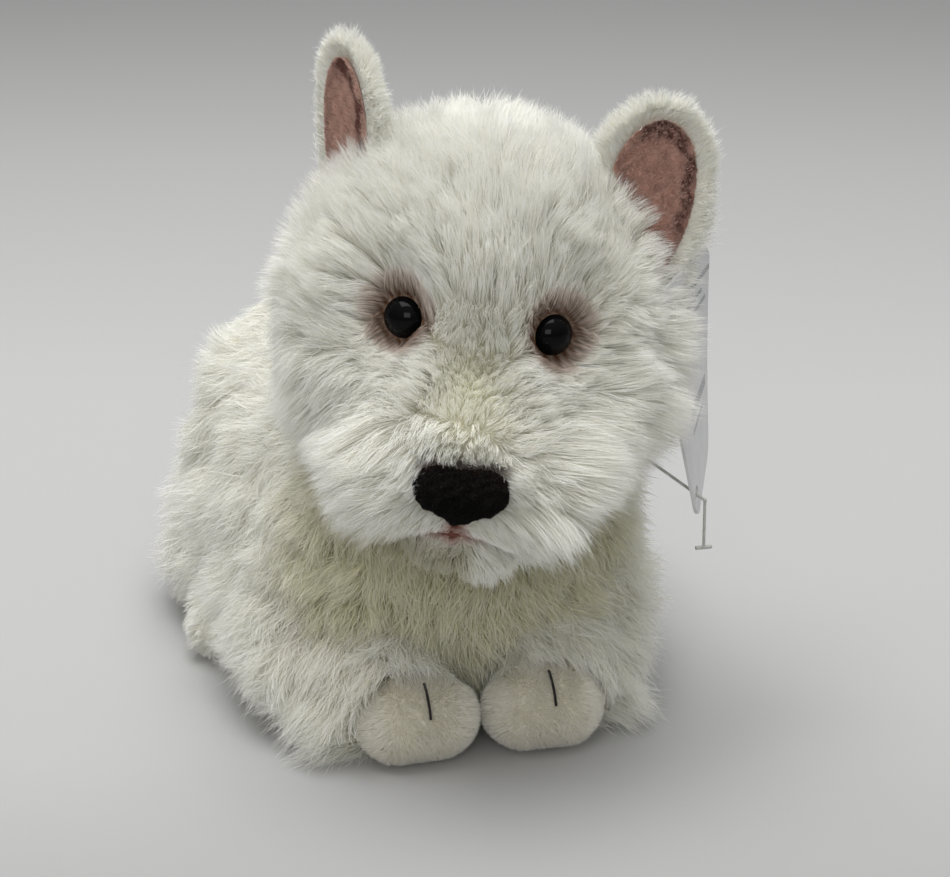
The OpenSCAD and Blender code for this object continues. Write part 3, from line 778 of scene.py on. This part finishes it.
for s, nm in ((1, "left"), (-1, "right")):
    V, T = swell(5, (26 * s, 26, 22), FORELEG[s], 70)
    o = make(f"skin_foreleg_{nm}", V, T, M_PAWBACK, f"foreleg_{nm}")
    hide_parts(f"foreleg_{nm}")
    comb = Comb(side_rows(FORE, s), 9)
    inside = lambda q: (sd_torso(q) > -9)
    coat(f"fur_foreleg_{nm}", f"foreleg_{nm}", V, T,
         lambda q: np.where(q[:, 1] > 6, 4.0, 0) * inside(q) * (q[:, 2] > 1.2),
         comb, [FORELEG[s]], seed_=300 + s, big=7, small=2.4, bend=1.2, droop=0.35, width=0.30, root_shade=ROOT_SHADE_BODY)
    coat(f"pile_paw_{nm}", f"foreleg_{nm}", V, T,
         lambda q: np.where(q[:, 1] <= 14, 13.0, 0) * (q[:, 2] > 1.4),
         comb, [FORELEG[s]], K=2, seed_=320 + s, big=3.5, small=1.4, c1=0.3, c2=0.4, bend=0.5, droop=0.05, jitter=0.22,
         width=0.24, lift=0.8, mat=M_PILE, slot="short_pile", root_shade=np.array([0.92, 0.90, 0.84]), base=np.array([0.96, 0.955, 0.93]),
         shape=lambda q, F, L, C: (F, np.minimum(L, 3.4), C))
    V, T = swell(5, (42 * s, 120, 24), HINDLEG[s], 70)
    o = make(f"skin_hindleg_{nm}", V, T, M_BACK, f"hindleg_{nm}")
    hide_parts(f"hindleg_{nm}")
    coat(f"fur_hindleg_{nm}", f"hindleg_{nm}", V, T,
         lambda q: 2.4 * (sd_torso(q) > -9) * (q[:, 2] > 1.5),
         Comb(side_rows(HIND, s), 12), [HINDLEG[s]], seed_=400 + s, big=8, small=2.7, bend=1.2, droop=0.35, width=0.36)

V, T = swell(5, (2, 182, 96), sd_tail, 40)
o = make("skin_tail", V, T, M_BACK, "tail")
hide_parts("tail")
coat("fur_tail", "tail", V, T, lambda q: (3.0 + 4.5 * step(102, 107, q[:, 2])) * (sd_torso(q) > -3),
     Comb([(2, 188, 110, .3, .75, .25, 13, .8), (2, 184, 109, 0, .55, .7, 14, .8), (2, 190, 92, 0, .8, .35, 16, .8), (11, 180, 94, .7, .3, .5, 16, .8),
           (-7, 180, 94, -.7, .3, .5, 16, .8), (2, 172, 96, 0, -.2, .85, 12, .8)], 9),
     [sd_tail], seed_=500, big=6, small=2.3, bend=1.1, droop=0.2, width=0.34)


# ----------------------------------------------------------------- ears
print("ears")


def ear_half(t):
    t = np.clip(t, 0, 1)
    return np.where(t < 0.45, 0.5 * (1 - 0.30 * ((0.45 - np.minimum(t, 0.45)) / 0.45) ** 2),
                    0.5 * np.sqrt(np.maximum(0, 1 - (np.maximum(t - 0.45, 0) / 0.55) ** 2.3)))


EAR_B = {1: np.array([45.3, 0, 25.0]), -1: np.array([-40.6, 0, 32.0])}
DROP = 6.0


def ear_frame(s, turn, lean):
    tz, ty = math.radians(s * turn), math.radians(s * lean)
    A = np.array([[math.cos(tz), -math.sin(tz), 0], [math.sin(tz), math.cos(tz), 0], [0, 0, 1]])
    B = np.array([[math.cos(ty), 0, math.sin(ty)], [0, 1, 0], [-math.sin(ty), 0, math.cos(ty)]])
    X = np.array([[1, 0, 0], [0, 0, -1], [0, 1, 0]], float)  # drawn in XY, stood up
    return B @ A @ X, EAR_B[s]


def ear_sheet(s, turn, lean, w, l, drop, front, back, nu=29, nv=37):
    """A closed pad with an ear's outline. front and back give its two faces' heights."""
    M, o = ear_frame(s, turn, lean)
    n = unit(EAR_B[s])
    u = np.sin(np.linspace(-math.pi / 2, math.pi / 2, nu))
    v = np.sin(np.linspace(0, math.pi / 2, nv))
    U, W = np.meshgrid(u, v)
    up = n @ M[:, 1]
    x = U * w * 0.5
    for _ in range(12):
        y0 = -(n @ M[:, 0]) * x / up - 0.5
        y = y0 + W * (l * 0.999 - y0)
        x = U * w * ear_half((y + drop) / (l + drop))
    faces = []
    for f in (front, back):
        z = f(U, W, x, y)
        faces.append(np.stack([x, y, z], -1) @ M.T + o)
    return faces, (U, W, x, y)


def grid_tris(nv, nu, flip):
    i = np.arange(nv - 1)[:, None] * nu + np.arange(nu - 1)[None]
    a, b, c, d = i, i + 1, i + nu + 1, i + nu
    t = np.concatenate([np.stack([a, b, c], -1).reshape(-1, 3), np.stack([a, c, d], -1).reshape(-1, 3)])
    return t[:, ::-1] if flip else t


def pad(faces):
    """Closes two grids along their common outline."""
    nv, nu, _ = faces[0].shape
    V = np.concatenate([faces[0].reshape(-1, 3), faces[1].reshape(-1, 3)])
    k = nv * nu
    T = [grid_tris(nv, nu, False), grid_tris(nv, nu, True) + k]
    edge = ([j for j in range(nu)] + [i * nu + nu - 1 for i in range(1, nv)] + [(nv - 1) * nu + j for j in range(nu - 2, -1, -1)]
            + [i * nu for i in range(nv - 2, 0, -1)])
    e = np.array(edge)
    f = np.roll(e, -1)
    T.append(np.stack([e, e + k, f + k], -1))
    T.append(np.stack([e, f + k, f], -1))
    T = np.concatenate(T)
    # points that meet at the rounded tip are one
    key = np.round(V / 1e-3).astype(np.int64)
    _, first, inv = np.unique(key, axis=0, return_index=True, return_inverse=True)
    inv = inv.reshape(-1)
    V, T = V[first], inv[T]
    T = T[(T[:, 0] != T[:, 1]) & (T[:, 1] != T[:, 2]) & (T[:, 0] != T[:, 2])]
    return V, T


for s, nm, turn, lean in ((1, "left", 12, 2), (-1, "right", 62, 7)):
    cup = lambda U, W: 2.0 * U * U + 1.2 * W * W - 1.0
    rim = lambda U, W: np.sqrt(np.clip(1 - np.abs(U) ** 4, 0, 1)) * np.sqrt(np.clip(1 - W**6, 0, 1))
    faces, _ = ear_sheet(s, turn, lean, 33, 40, DROP, lambda U, W, x, y: cup(U, W) + 0.2 * rim(U, W) - 0.2,
                         lambda U, W, x, y: cup(U, W) - 0.25 - 3.0 * rim(U, W))
    V, T = pad(faces)
    Vb = from_head(V)
    eb = make(f"skin_ear_{nm}", Vb, T, M_PAWBACK, f"ear_{nm}")
    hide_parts(f"ear_back_{nm}")
    lin, (LU, LW, LX, LY) = ear_sheet(s, turn, lean, 26, 36, DROP, lambda U, W, x, y: cup(U * 0.8, W * 0.92) + 0.35 + 1.2 * rim(U, W),
                                      lambda U, W, x, y: cup(U * 0.8, W * 0.92) + 0.3)
    V2, T2 = pad(lin)
    V2b = from_head(V2)
    M, o_ = ear_frame(s, turn, lean)

    def ear_local(q):
        return (to_head(q) - o_) @ M

    # the nap's colour: pink, with an uneven brown airbrushed line
    def nap_colour(Vx, along, P, c, s=s):
        e = ear_local(Vx)
        x, y = e[..., 0], e[..., 1]
        t = np.clip((y + DROP) / (36 + DROP), 0, 1)
        half = 26 * ear_half(t)
        edge = np.minimum(half - np.abs(x), (36 - y) * 0.9)
        wob = 1.3 * np.sin(y * 0.55 + 1.0) + 0.9 * np.sin(y * 1.3 + x * 0.7) + 0.6 * np.sin(x * 1.9)
        line = np.exp(-(((edge - 2.4 + 0.7 * wob) / 1.6) ** 2))
        if s > 0:
            line = line * np.where(x > -6, 1, 0.25) * step(-2, 8, y)
        else:
            line = line * np.where(x > -4, 1, 0.35) * step(-2, 8, y)
        pinkc = srgb(232, 200, 186) * (0.92 + 0.08 * np.sin(x * 0.9) * np.sin(y * 0.7))[..., None]
        # the nap is a little darker at the roots: painted shade deep in the pile
        nap_root_shade = np.clip(0.9 + 0.1 * along, 0, 1)[None, :, None]
        tone = c.mean(-1, keepdims=True) / c.mean()
        out = pinkc * (1 - line[..., None] * 0.85) + srgb(112, 56, 46) * line[..., None] * 0.85
        return out * nap_root_shade * (0.75 + 0.25 * tone)

    ln = make(f"lining_ear_{nm}", V2b, T2, M_EARBACK, f"ear_{nm}")
    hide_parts(f"ear_lining_{nm}")
    normal = RH @ M[:, 2]  # out of the lining
    upv = RH @ M[:, 1]
    acr = RH @ M[:, 0]

    def sd_pad(p, M=M, o_=o_):
        """About the distance from the ear's pad."""
        e = (to_head(p) - o_) @ M
        x, y, z = e[..., 0], e[..., 1], e[..., 2]
        half = 33 * ear_half((y + DROP) / (40 + DROP))
        U = np.clip(x / np.maximum(half, 1), -1, 1)
        W = np.clip(y / 40, 0, 1)
        zc = z - (2.0 * U * U + 1.2 * W * W - 1.0) + 1.7
        out_x = np.abs(x) - (half - 1.6)
        out_y = y - 38.4
        d = np.maximum(out_x, out_y)
        return np.hypot(np.maximum(d, 0), zc) - 1.6

    # nap on the lining
    def nap_keep(P, M=M, o_=o_):
        e = (to_head(P) - o_) @ M
        return e[:, 2] > ((2.0 * (e[:, 0] / 16) ** 2) - 1.0 + 0.2)
    coat(f"nap_ear_{nm}", f"ear_{nm}", V2b, T2, lambda q: np.full(len(q), 13.0),
         Comb([(0, 0, 0, *(normal + 0.8 * upv), 1.5, .2)], 10), [sd_pad], K=2, big=3, small=1.2, c1=.3, c2=.35, bend=.4,
         droop=0, jitter=.3, width=.26, lift=.4, colour=nap_colour, mat=M_NAP, slot="ear_lining", keep=nap_keep,
         seed_=600 + s)

    # fluff on the back and round the rim
    def fluff(q, F, L, C, M=M, o_=o_, normal=normal, upv=upv, acr=acr, s=s):
        e = (to_head(q) - o_) @ M
        x, y = e[:, 0], e[:, 1]
        half = 33 * ear_half((y + DROP) / (40 + DROP))
        sx = np.clip(x / np.maximum(half, 1), -1, 1)
        edge = np.clip(np.maximum(np.abs(sx), y / 40), 0, 1) ** 3
        front = (e[:, 2] > (2.0 * sx**2 + 1.2 * np.clip(y / 40, 0, 1) ** 2 - 1.6)).astype(float)
        outw = sx[:, None] * acr + (0.35 + 0.9 * np.clip((y - 15) / 25, 0, 1))[:, None] * upv
        F = unit(outw * (0.35 + 0.9 * edge)[:, None] + (-0.9 + 0.75 * edge + 0.35 * front)[:, None] * normal)
        L = 5.5 + 2.0 * edge + 5 * (1 - step(0, 12, y))
        L = np.where(front > 0, 4.6, L)
        return F, L, C * 0 + 0.8

    def fluff_keep(P, M=M, o_=o_):
        e = (to_head(P) - o_) @ M
        x, y, z = e.T
        half = 26 * ear_half((y + DROP) / (36 + DROP))
        sx = np.clip(x / np.maximum(33 * ear_half((y + DROP) / (40 + DROP)), 1), -1, 1)
        front = z > (2.0 * sx**2 + 1.2 * np.clip(y / 40, 0, 1) ** 2 - 1.6)
        return ~(front & (np.abs(x) < half - 0.6) & (y < 35.4))
    coat(f"fur_ear_{nm}", f"ear_{nm}", Vb, T, lambda q: np.full(len(q), 7.5),
         Comb([(0, 0, 0, *(-normal), 7, .8)], 10), [sd_pad], K=3, big=4.5, small=1.7, c1=.4, c2=.55, bend=.9,
         droop=.05, jitter=.22, width=.26, lift=.5, keep=fluff_keep, shape=fluff, seed_=620 + s)


# ---------------------------------------------------------- eyes and nose
print("face")


def basis(n, x_hint):
    n = unit(np.asarray(n, float))
    x = unit(np.asarray(x_hint, float) - (np.asarray(x_hint, float) @ n) * n)
    return np.stack([x, np.cross(n, x), n], 1)


def lathe(profile, M, o, nseg=56):
    """Turns (radius, height) pairs round the third axis of M."""
    pr = np.array(profile, float)
    a = np.linspace(0, 2 * math.pi, nseg, endpoint=False)
    ring = np.stack([pr[:, None, 0] * np.cos(a), pr[:, None, 0] * np.sin(a), np.repeat(pr[:, 1][:, None], nseg, 1)], -1)
    V = ring.reshape(-1, 3)
    T = []
    for i in range(len(pr) - 1):
        j = np.arange(nseg)
        k = (j + 1) % nseg
        A, B, C_, D = i * nseg + j, i * nseg + k, (i + 1) * nseg + k, (i + 1) * nseg + j
        T += [np.stack([A, B, C_], -1), np.stack([A, C_, D], -1)]
    T = np.concatenate(T)
    key = np.round(V / 1e-4).astype(np.int64)
    _, first, inv = np.unique(key, axis=0, return_index=True, return_inverse=True)
    inv = inv.reshape(-1)
    V, T = V[first], inv[T]
    T = T[(T[:, 0] != T[:, 1]) & (T[:, 1] != T[:, 2]) & (T[:, 0] != T[:, 2])]
    return V @ M.T + o, T


for s, nm in ((1, "left"), (-1, "right")):
    n = EYE_N[s]
    c = n * (np.linalg.norm(EYES[s]) - 2.5)
    prof = [(0, -9.4), (2, -9.4), (2, -0.8), (5.7, -0.8), (6.0, -0.5), (6.05, 0)]
    prof += [(6.05 * math.cos(a), 4.9 * math.sin(a)) for a in np.linspace(0.06, math.pi / 2 - 0.02, 22)] + [(0, 4.9)]
    V, T = lathe(prof, basis(n, (0, 0, 1)), c)
    o = make(f"eye_dome_{nm}", from_head(V), T, M_EYE, "head")
    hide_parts(f"eye_{nm}")

NB = np.stack([NX, np.cross(NOSE_D, NX), NOSE_D], 1)


def sd_nose(p):
    a, b, c = (-2.4, -6.2, 1.2), (-2.4, 6.2, 1.2), (4.2, 0, 0.8)
    d = melt(rod(p, a, b, 6, 6), melt(rod(p, b, c, 6, 4.4), rod(p, c, a, 4.4, 6), 2.5), 3)
    d = melt(d, ball(p, (-0.6, 0, 1.5), 6.2), 2)
    return np.maximum(d, -0.6 - p[..., 2])


NVl, NT = swell(5, (-0.4, 0, 1.6), sd_nose, 24)
NVl = NVl + slope(sd_nose, NVl) * (0.22 * wave(NVl, 1.6, 9)[:, :1] + 0.3 * wave(NVl, 5, 10)[:, :1])
NVb = from_head(NVl @ NB.T + NOSE_BASE)
nose = make("nose_pad", NVb, NT, M_NOSE, "head")
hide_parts("nose")


def sd_nose_b(p):
    return sd_nose((to_head(p) - NOSE_BASE) @ NB)


def flock_colour(V, along, P, c):
    q = to_head(V) - NOSE_BASE
    e = q @ NX
    tone = (c.mean(-1, keepdims=True) / c.mean())
    k = np.clip((-e - 4) / 6, 0, 1)[..., None]
    # the fibres darker at the root and lighter at the tip: painted shade at the roots and painted highlight at the tips
    return (srgb(17, 15, 13) * (1 - 0.5 * k) + srgb(52, 34, 26) * 0.5 * k) * (0.5 + 0.5 * tone) * (0.6 + 0.7 * along[None, :, None])


coat("nose_flock_fibres", "head", NVb, NT, lambda q: 26.0 * (to_head(q) @ NOSE_D > (NOSE_BASE @ NOSE_D) + 0.2),
     Comb([(0, 0, 0, 0, -.6, -.2, .8, .3)], 10), [sd_nose_b], K=2, big=2, small=.9, c1=.3, c2=.4, bend=.5, droop=0,
     jitter=.5, width=.16, lift=.15, colour=flock_colour, mat=M_FLOCK, slot="nose_flock", seed_=700,
     shape=lambda q, F, L, C: (unit(slope(sd_nose, (to_head(q) - NOSE_BASE) @ NB) @ NB.T @ RH.T + .3 * np.array([0, 0, -1.])), L, C))


def tube(points, r, nseg=8):
    P = np.asarray(points, float)
    d = unit(np.gradient(P, axis=0))
    ref = np.array([0.0, 0, 1]) if abs(d[0] @ np.array([0, 0, 1.0])) < 0.9 else np.array([1.0, 0, 0])
    u = unit(np.cross(d, ref))
    v = np.cross(d, u)
    a = np.linspace(0, 2 * math.pi, nseg, endpoint=False)
    rr = np.full(len(P), r) if np.isscalar(r) else np.asarray(r)
    V = (P[:, None] + rr[:, None, None] * (np.cos(a)[None, :, None] * u[:, None] + np.sin(a)[None, :, None] * v[:, None])).reshape(-1, 3)
    T = []
    for i in range(len(P) - 1):
        j = np.arange(nseg)
        k = (j + 1) % nseg
        A, B, C_, D = i * nseg + j, i * nseg + k, (i + 1) * nseg + k, (i + 1) * nseg + j
        T += [np.stack([A, C_, B], -1), np.stack([A, D, C_], -1)]
    m = len(V)
    V = np.concatenate([V, P[:1], P[-1:]])
    j = np.arange(nseg)
    k = (j + 1) % nseg
    T.append(np.stack([np.full(nseg, m), j, k], -1))
    q = (len(P) - 1) * nseg
    T.append(np.stack([np.full(nseg, m + 1), q + k, q + j], -1))
    return V, np.concatenate(T)


def join(parts):
    V, T, n = [], [], 0
    for v, t in parts:
        V.append(v)
        T.append(t + n)
        n += len(v)
    return np.concatenate(V), np.concatenate(T)


# the line under the nose and the lip, laid in satin stitch
parts = []
for c in PHILTRUM:
    nrm = slope(sd_head, c[None])[0]
    parts.append(tube([c + nrm * (0.35 - 0.6 * x * x) + np.array([x * 0.8, 0, 0.25 * x]) for x in (-1, -.6, 0, .6, 1)], 0.40))
for a, b in zip(MOUTH[:-1], MOUTH[1:]):
    for f in (0.0, 0.33, 0.66):
        c = a + (b - a) * f
        nrm = slope(sd_head, c[None])[0]
        parts.append(tube([c + nrm * (0.4 - 0.5 * x * x) + np.array([0.2 * x, 0, 1.1 * x]) for x in (-1, -.6, 0, .6, 1)], 0.38))
V, T = join(parts)
o = make("mouth_stitches", from_head(V), T, M_LIP, "head")
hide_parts("mouth_stitching")

# ------------------------------------------------------------------ card
print("card")


CARD_W, CARD_H, INSET, TWIST = 40.0, 74.0, 6.0, math.radians(20)


def card_bend(p):
    """p in the card's own axes, along it, across it and up, twisted about its rear edge."""
    x, y, z = p[..., 0], p[..., 1], p[..., 2]
    v = np.clip((z + INSET) / CARD_H, 0, 1)
    y = y + 1.3 * np.sin(v * math.pi) * ((x + INSET) / CARD_W - 0.5)
    a = -TWIST * (z + INSET) / CARD_H
    e = CARD_W - INSET
    return np.stack([e + (x - e) * np.cos(a) - y * np.sin(a), (x - e) * np.sin(a) + y * np.cos(a), z], -1)


TAG = np.array([70.9, 9.7, 71.0])
ty, tt = math.radians(66.5), math.radians(15)
TM = np.array([[math.cos(ty), -math.sin(ty), 0], [math.sin(ty), math.cos(ty), 0], [0, 0, 1.0]])
TM = TM @ np.array([[math.cos(tt), 0, -math.sin(tt)], [0, 1, 0], [math.sin(tt), 0, math.cos(tt)]])
bm = bmesh.new()
outline = []
for c in range(4):
    for a in range(0, 91, 10):
        cx = CARD_W - 12 if c in (0, 3) else 0
        cz = CARD_H - 12 if c < 2 else 0
        ang = math.radians(a + 90 * c)
        outline.append((cx + 6 * math.cos(ang), cz + 6 * math.sin(ang)))
hole = [(2.6 * math.cos(a), 2.6 * math.sin(a)) for a in np.linspace(0, 2 * math.pi, 28, endpoint=False)]
ov = [bm.verts.new((x, 0, z)) for x, z in outline]
hv = [bm.verts.new((x, 0, z)) for x, z in hole]
es = [bm.edges.new((ov[i], ov[(i + 1) % len(ov)])) for i in range(len(ov))]
es += [bm.edges.new((hv[i], hv[(i + 1) % len(hv)])) for i in range(len(hv))]
bmesh.ops.triangle_fill(bm, edges=es, use_beauty=True)
for f in [f for f in bm.faces if f.calc_center_median().length < 2.2 and all(v in hv for v in f.verts)]:
    bm.faces.remove(f)
for x in np.arange(-4, 34, 2.5):
    bmesh.ops.bisect_plane(bm, geom=bm.verts[:] + bm.edges[:] + bm.faces[:], plane_co=(x, 0, 0), plane_no=(1, 0, 0))
for z in np.arange(-4, 68, 2.5):
    bmesh.ops.bisect_plane(bm, geom=bm.verts[:] + bm.edges[:] + bm.faces[:], plane_co=(0, 0, z), plane_no=(0, 0, 1))
bmesh.ops.triangulate(bm, faces=bm.faces[:])
bm.verts.ensure_lookup_table()
flat = np.array([v.co[:] for v in bm.verts])
tri = np.array([[v.index for v in f.verts] for f in bm.faces])
rim_e = [(e.verts[0].index, e.verts[1].index) for e in bm.edges if len(e.link_faces) == 1]
tnorm = np.cross(flat[tri[:, 1]] - flat[tri[:, 0]], flat[tri[:, 2]] - flat[tri[:, 0]])
tri = np.where((tnorm[:, 1] > 0)[:, None], tri[:, ::-1], tri)
bm.free()
edge_dir = {}
for t in tri:
    for i in range(3):
        edge_dir[(t[i], t[(i + 1) % 3])] = True
n = len(flat)
sides = []
for a, b in rim_e:
    if (a, b) not in edge_dir:
        a, b = b, a
    sides += [[b, a, a + n], [b, a + n, b + n]]
both = np.concatenate([flat + [0, -0.45, 0], flat + [0, 0.45, 0]])
V = card_bend(both) @ TM.T + TAG
T = np.concatenate([tri, tri[:, ::-1] + n, np.array(sides)])


def card_build(t, out):
    co = node(t, "ShaderNodeTexCoord")
    mp = node(t, "ShaderNodeMapping", _vector_type="TEXTURE")
    origin = (TAG - ORG) / 1000
    mp.inputs["Location"].default_value = tuple(origin)
    mp.inputs["Rotation"].default_value = (0, -tt, ty)
    t.links.new(co.outputs["Object"], mp.inputs["Vector"])
    sep = node(t, "ShaderNodeSeparateXYZ")
    t.links.new(mp.outputs["Vector"], sep.inputs[0])

    def m(op, a, b=None, c=None):
        q = node(t, "ShaderNodeMath", _operation=op)
        for i, v in enumerate((a, b, c)):
            if v is None:
                continue
            if isinstance(v, (int, float)):
                q.inputs[i].default_value = v
            else:
                t.links.new(v, q.inputs[i])
        return q.outputs[0]

    X, Z = sep.outputs["X"], sep.outputs["Z"]
    total = None
    for x0, x1, z0, z1 in ((0.004, 0.034, 0.0585, 0.0605), (0.004, 0.028, 0.054, 0.0555), (0.004, 0.031, 0.050, 0.0515),
                           (0.008, 0.030, 0.020, 0.024), (0.008, 0.024, 0.0155, 0.017)):
        bx = m("MULTIPLY", m("GREATER_THAN", X, x0), m("LESS_THAN", X, x1))
        bz = m("MULTIPLY", m("GREATER_THAN", Z, z0), m("LESS_THAN", Z, z1))
        b = m("MULTIPLY", bx, bz)
        total = b if total is None else m("ADD", total, b)
    nz = node(t, "ShaderNodeTexNoise", Scale=120.0, Detail=4.0)
    t.links.new(co.outputs["Object"], nz.inputs["Vector"])
    rp = ramp(t, [(0.3, tuple(srgb(206, 207, 209))), (0.7, tuple(srgb(220, 220, 220)))])
    t.links.new(nz.outputs["Fac"], rp.inputs["Fac"])
    mix = node(t, "ShaderNodeMix", _data_type="RGBA")
    t.links.new(total, mix.inputs[0])
    t.links.new(rp.outputs["Color"], mix.inputs[6])
    mix.inputs[7].default_value = (*srgb(150, 152, 156), 1)
    p = node(t, "ShaderNodeBsdfPrincipled", Roughness=0.28)
    t.links.new(mix.outputs[2], p.inputs["Base Color"])
    t.links.new(p.outputs[0], out.inputs["Surface"])


M_CARD = material("tag_card", card_build)
o = make("tag_card", V, T, M_CARD, "tag", smooth=False)
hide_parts("hang_tag")

# ------------------------------------------------------------ care label
lo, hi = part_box("care_label")
lx0, lx1, lz0, lz1, lyy = lo.x * 1000 + ORG[0], hi.x * 1000 + ORG[0], lo.z * 1000, hi.z * 1000, (lo.y + hi.y) * 500 + ORG[1]
nu, nv = 23, 31
U, W = np.meshgrid(np.linspace(0, 1, nu), np.linspace(0, 1, nv))
y = lyy + 0.6 * np.sin(W * 3.0) + 0.25 * np.sin(U * 5)
X, Z = lx0 + U * 22, lz0 + W * 30
f1, f2 = np.stack([X, y - 0.12, Z], -1), np.stack([X, y + 0.12, Z], -1)
V, T = pad([f1, f2])
lab = make("care_label_cloth", V, T, M_LABEL, "torso")
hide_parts("care_label")

# ------------------------------------- what keeps its CAD shape
for names, mat, slot in (
    (("toe_stitches_left", "toe_stitches_right"), M_THREAD, "black_thread"),
    (("closing_seam",), M_WHITE_THREAD, "white_thread"),
    (("body_stuffing", "head_stuffing", "foreleg_stuffing_left", "foreleg_stuffing_right", "hindleg_stuffing_left",
      "hindleg_stuffing_right", "tail_stuffing"), M_FIBRE, "fibre_fill"),
    (("pellet_bag",), M_PELLET, "pellet_bag"),
    (("eye_washer_left", "eye_washer_right", "nose_washer"), M_WASHER, "washer"),
    (("tag_fastener",), M_NYLON, "nylon"),
    (("neck_gusset",), M_KNIT, "white_pile"),
):
    for nm in names:
        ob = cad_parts[nm]
        ob.data.materials.clear()
        ob.data.materials.append(mat)

# ----------------------------------------------------------------- stage
def floor_build(t, out):
    co = node(t, "ShaderNodeTexCoord")
    mp = node(t, "ShaderNodeMapping")
    mp.inputs["Rotation"].default_value = (0, 0, math.radians(15))
    t.links.new(co.outputs["Object"], mp.inputs["Vector"])
    sep = node(t, "ShaderNodeSeparateXYZ")
    t.links.new(mp.outputs["Vector"], sep.inputs[0])
    mr = node(t, "ShaderNodeMapRange")
    mr.inputs["From Min"].default_value = -0.6
    mr.inputs["From Max"].default_value = 2.2
    t.links.new(sep.outputs["Y"], mr.inputs["Value"])
    # the floor is darker towards the camera and towards the far back and brightest just behind the dog: painted light
    # falloff and painted shade in front of the paws
    rp = ramp(t, [(k, (v, v, v * 0.993)) for k, v in ((0.0, .34), (0.15, .385), (0.185, .455), (0.31, .505), (0.45, .48), (0.614, .40), (1.0, .33))])
    t.links.new(mr.outputs["Result"], rp.inputs["Fac"])
    nz = node(t, "ShaderNodeTexNoise", Scale=900.0, Detail=2.0)
    t.links.new(co.outputs["Object"], nz.inputs["Vector"])
    b = node(t, "ShaderNodeBump", Strength=0.05, Distance=0.0003)
    t.links.new(nz.outputs["Fac"], b.inputs["Height"])
    p = node(t, "ShaderNodeBsdfPrincipled", Roughness=0.85)
    p.inputs["Specular IOR Level"].default_value = 0.1
    t.links.new(rp.outputs["Color"], p.inputs["Base Color"])
    t.links.new(b.outputs["Normal"], p.inputs["Normal"])
    t.links.new(p.outputs[0], out.inputs["Surface"])


M_FLOOR = material("floor", floor_build)
fv = np.array([(-6, -6, 0), (6, -6, 0), (6, 6, 0), (-6, 6, 0)], float)
make("floor", fv, [[0, 1, 2, 3]], M_FLOOR, "stage", mm=False)

world = bpy.data.worlds.new("studio")
bpy.context.scene.world = world
world.use_nodes = True
wt = world.node_tree
wt.nodes.clear()
wo = wt.nodes.new("ShaderNodeOutputWorld")
bg = wt.nodes.new("ShaderNodeBackground")
tc = wt.nodes.new("ShaderNodeTexCoord")
sp = wt.nodes.new("ShaderNodeSeparateXYZ")
wr = ramp(wt, [(0.0, (0.20, 0.20, 0.205)), (0.25, (0.34, 0.34, 0.34)), (1.0, (1.0, 1.0, 1.0))])
wt.links.new(tc.outputs["Generated"], sp.inputs[0])
wt.links.new(sp.outputs["Z"], wr.inputs["Fac"])
wt.links.new(wr.outputs["Color"], bg.inputs["Color"])
bg.inputs["Strength"].default_value = 0.62
wt.links.new(bg.outputs[0], wo.inputs["Surface"])


def area(name, loc, aim, size, power, size_y=None, colour=(1, 1, 1)):
    l = bpy.data.lights.new(name, "AREA")
    l.energy = power
    l.color = colour
    l.shape = "RECTANGLE"
    l.size, l.size_y = size, size_y or size
    o = bpy.data.objects.new(name, l)
    bpy.context.scene.collection.objects.link(o)
    o.location = loc
    o.rotation_euler = (Vector(aim) - Vector(loc)).to_track_quat("-Z", "Y").to_euler()
    return o


area("overhead", (-0.12, 0.0, 1.35), (0, -0.02, 0.1), 1.1, 17.6, 1.1)
area("front_fill", (-0.5, -1.5, 0.75), (0, -0.05, 0.1), 0.9, 6.2, 0.6)

# ---------------------------------------------------------------- camera
AZ, EL, DIST, FPX = math.radians(-15), math.radians(19), 0.85, 2972.0
aim = np.array([-2.4, -5.0, 100.0])
away = np.array([math.sin(AZ) * math.cos(EL), -math.cos(AZ) * math.cos(EL), math.sin(EL)])
cam = bpy.data.cameras.new("camera")
cam.sensor_width = 36
cam.sensor_fit = "HORIZONTAL"
cam.lens = FPX / 950 * 36
cam.clip_start, cam.clip_end = 0.05, 50
co = bpy.data.objects.new("camera", cam)
bpy.context.scene.collection.objects.link(co)
here = (aim - ORG) / 1000
co.location = Vector(here + away * DIST)
co.rotation_euler = Vector(away).to_track_quat("Z", "Y").to_euler()
bpy.context.scene.camera = co

sc = bpy.context.scene
sc.view_settings.view_transform = "Standard"
sc.view_settings.look = "None"
sc.cycles.diffuse_bounces = 8
sc.cycles.transmission_bounces = 8
sc.cycles.max_bounces = 12
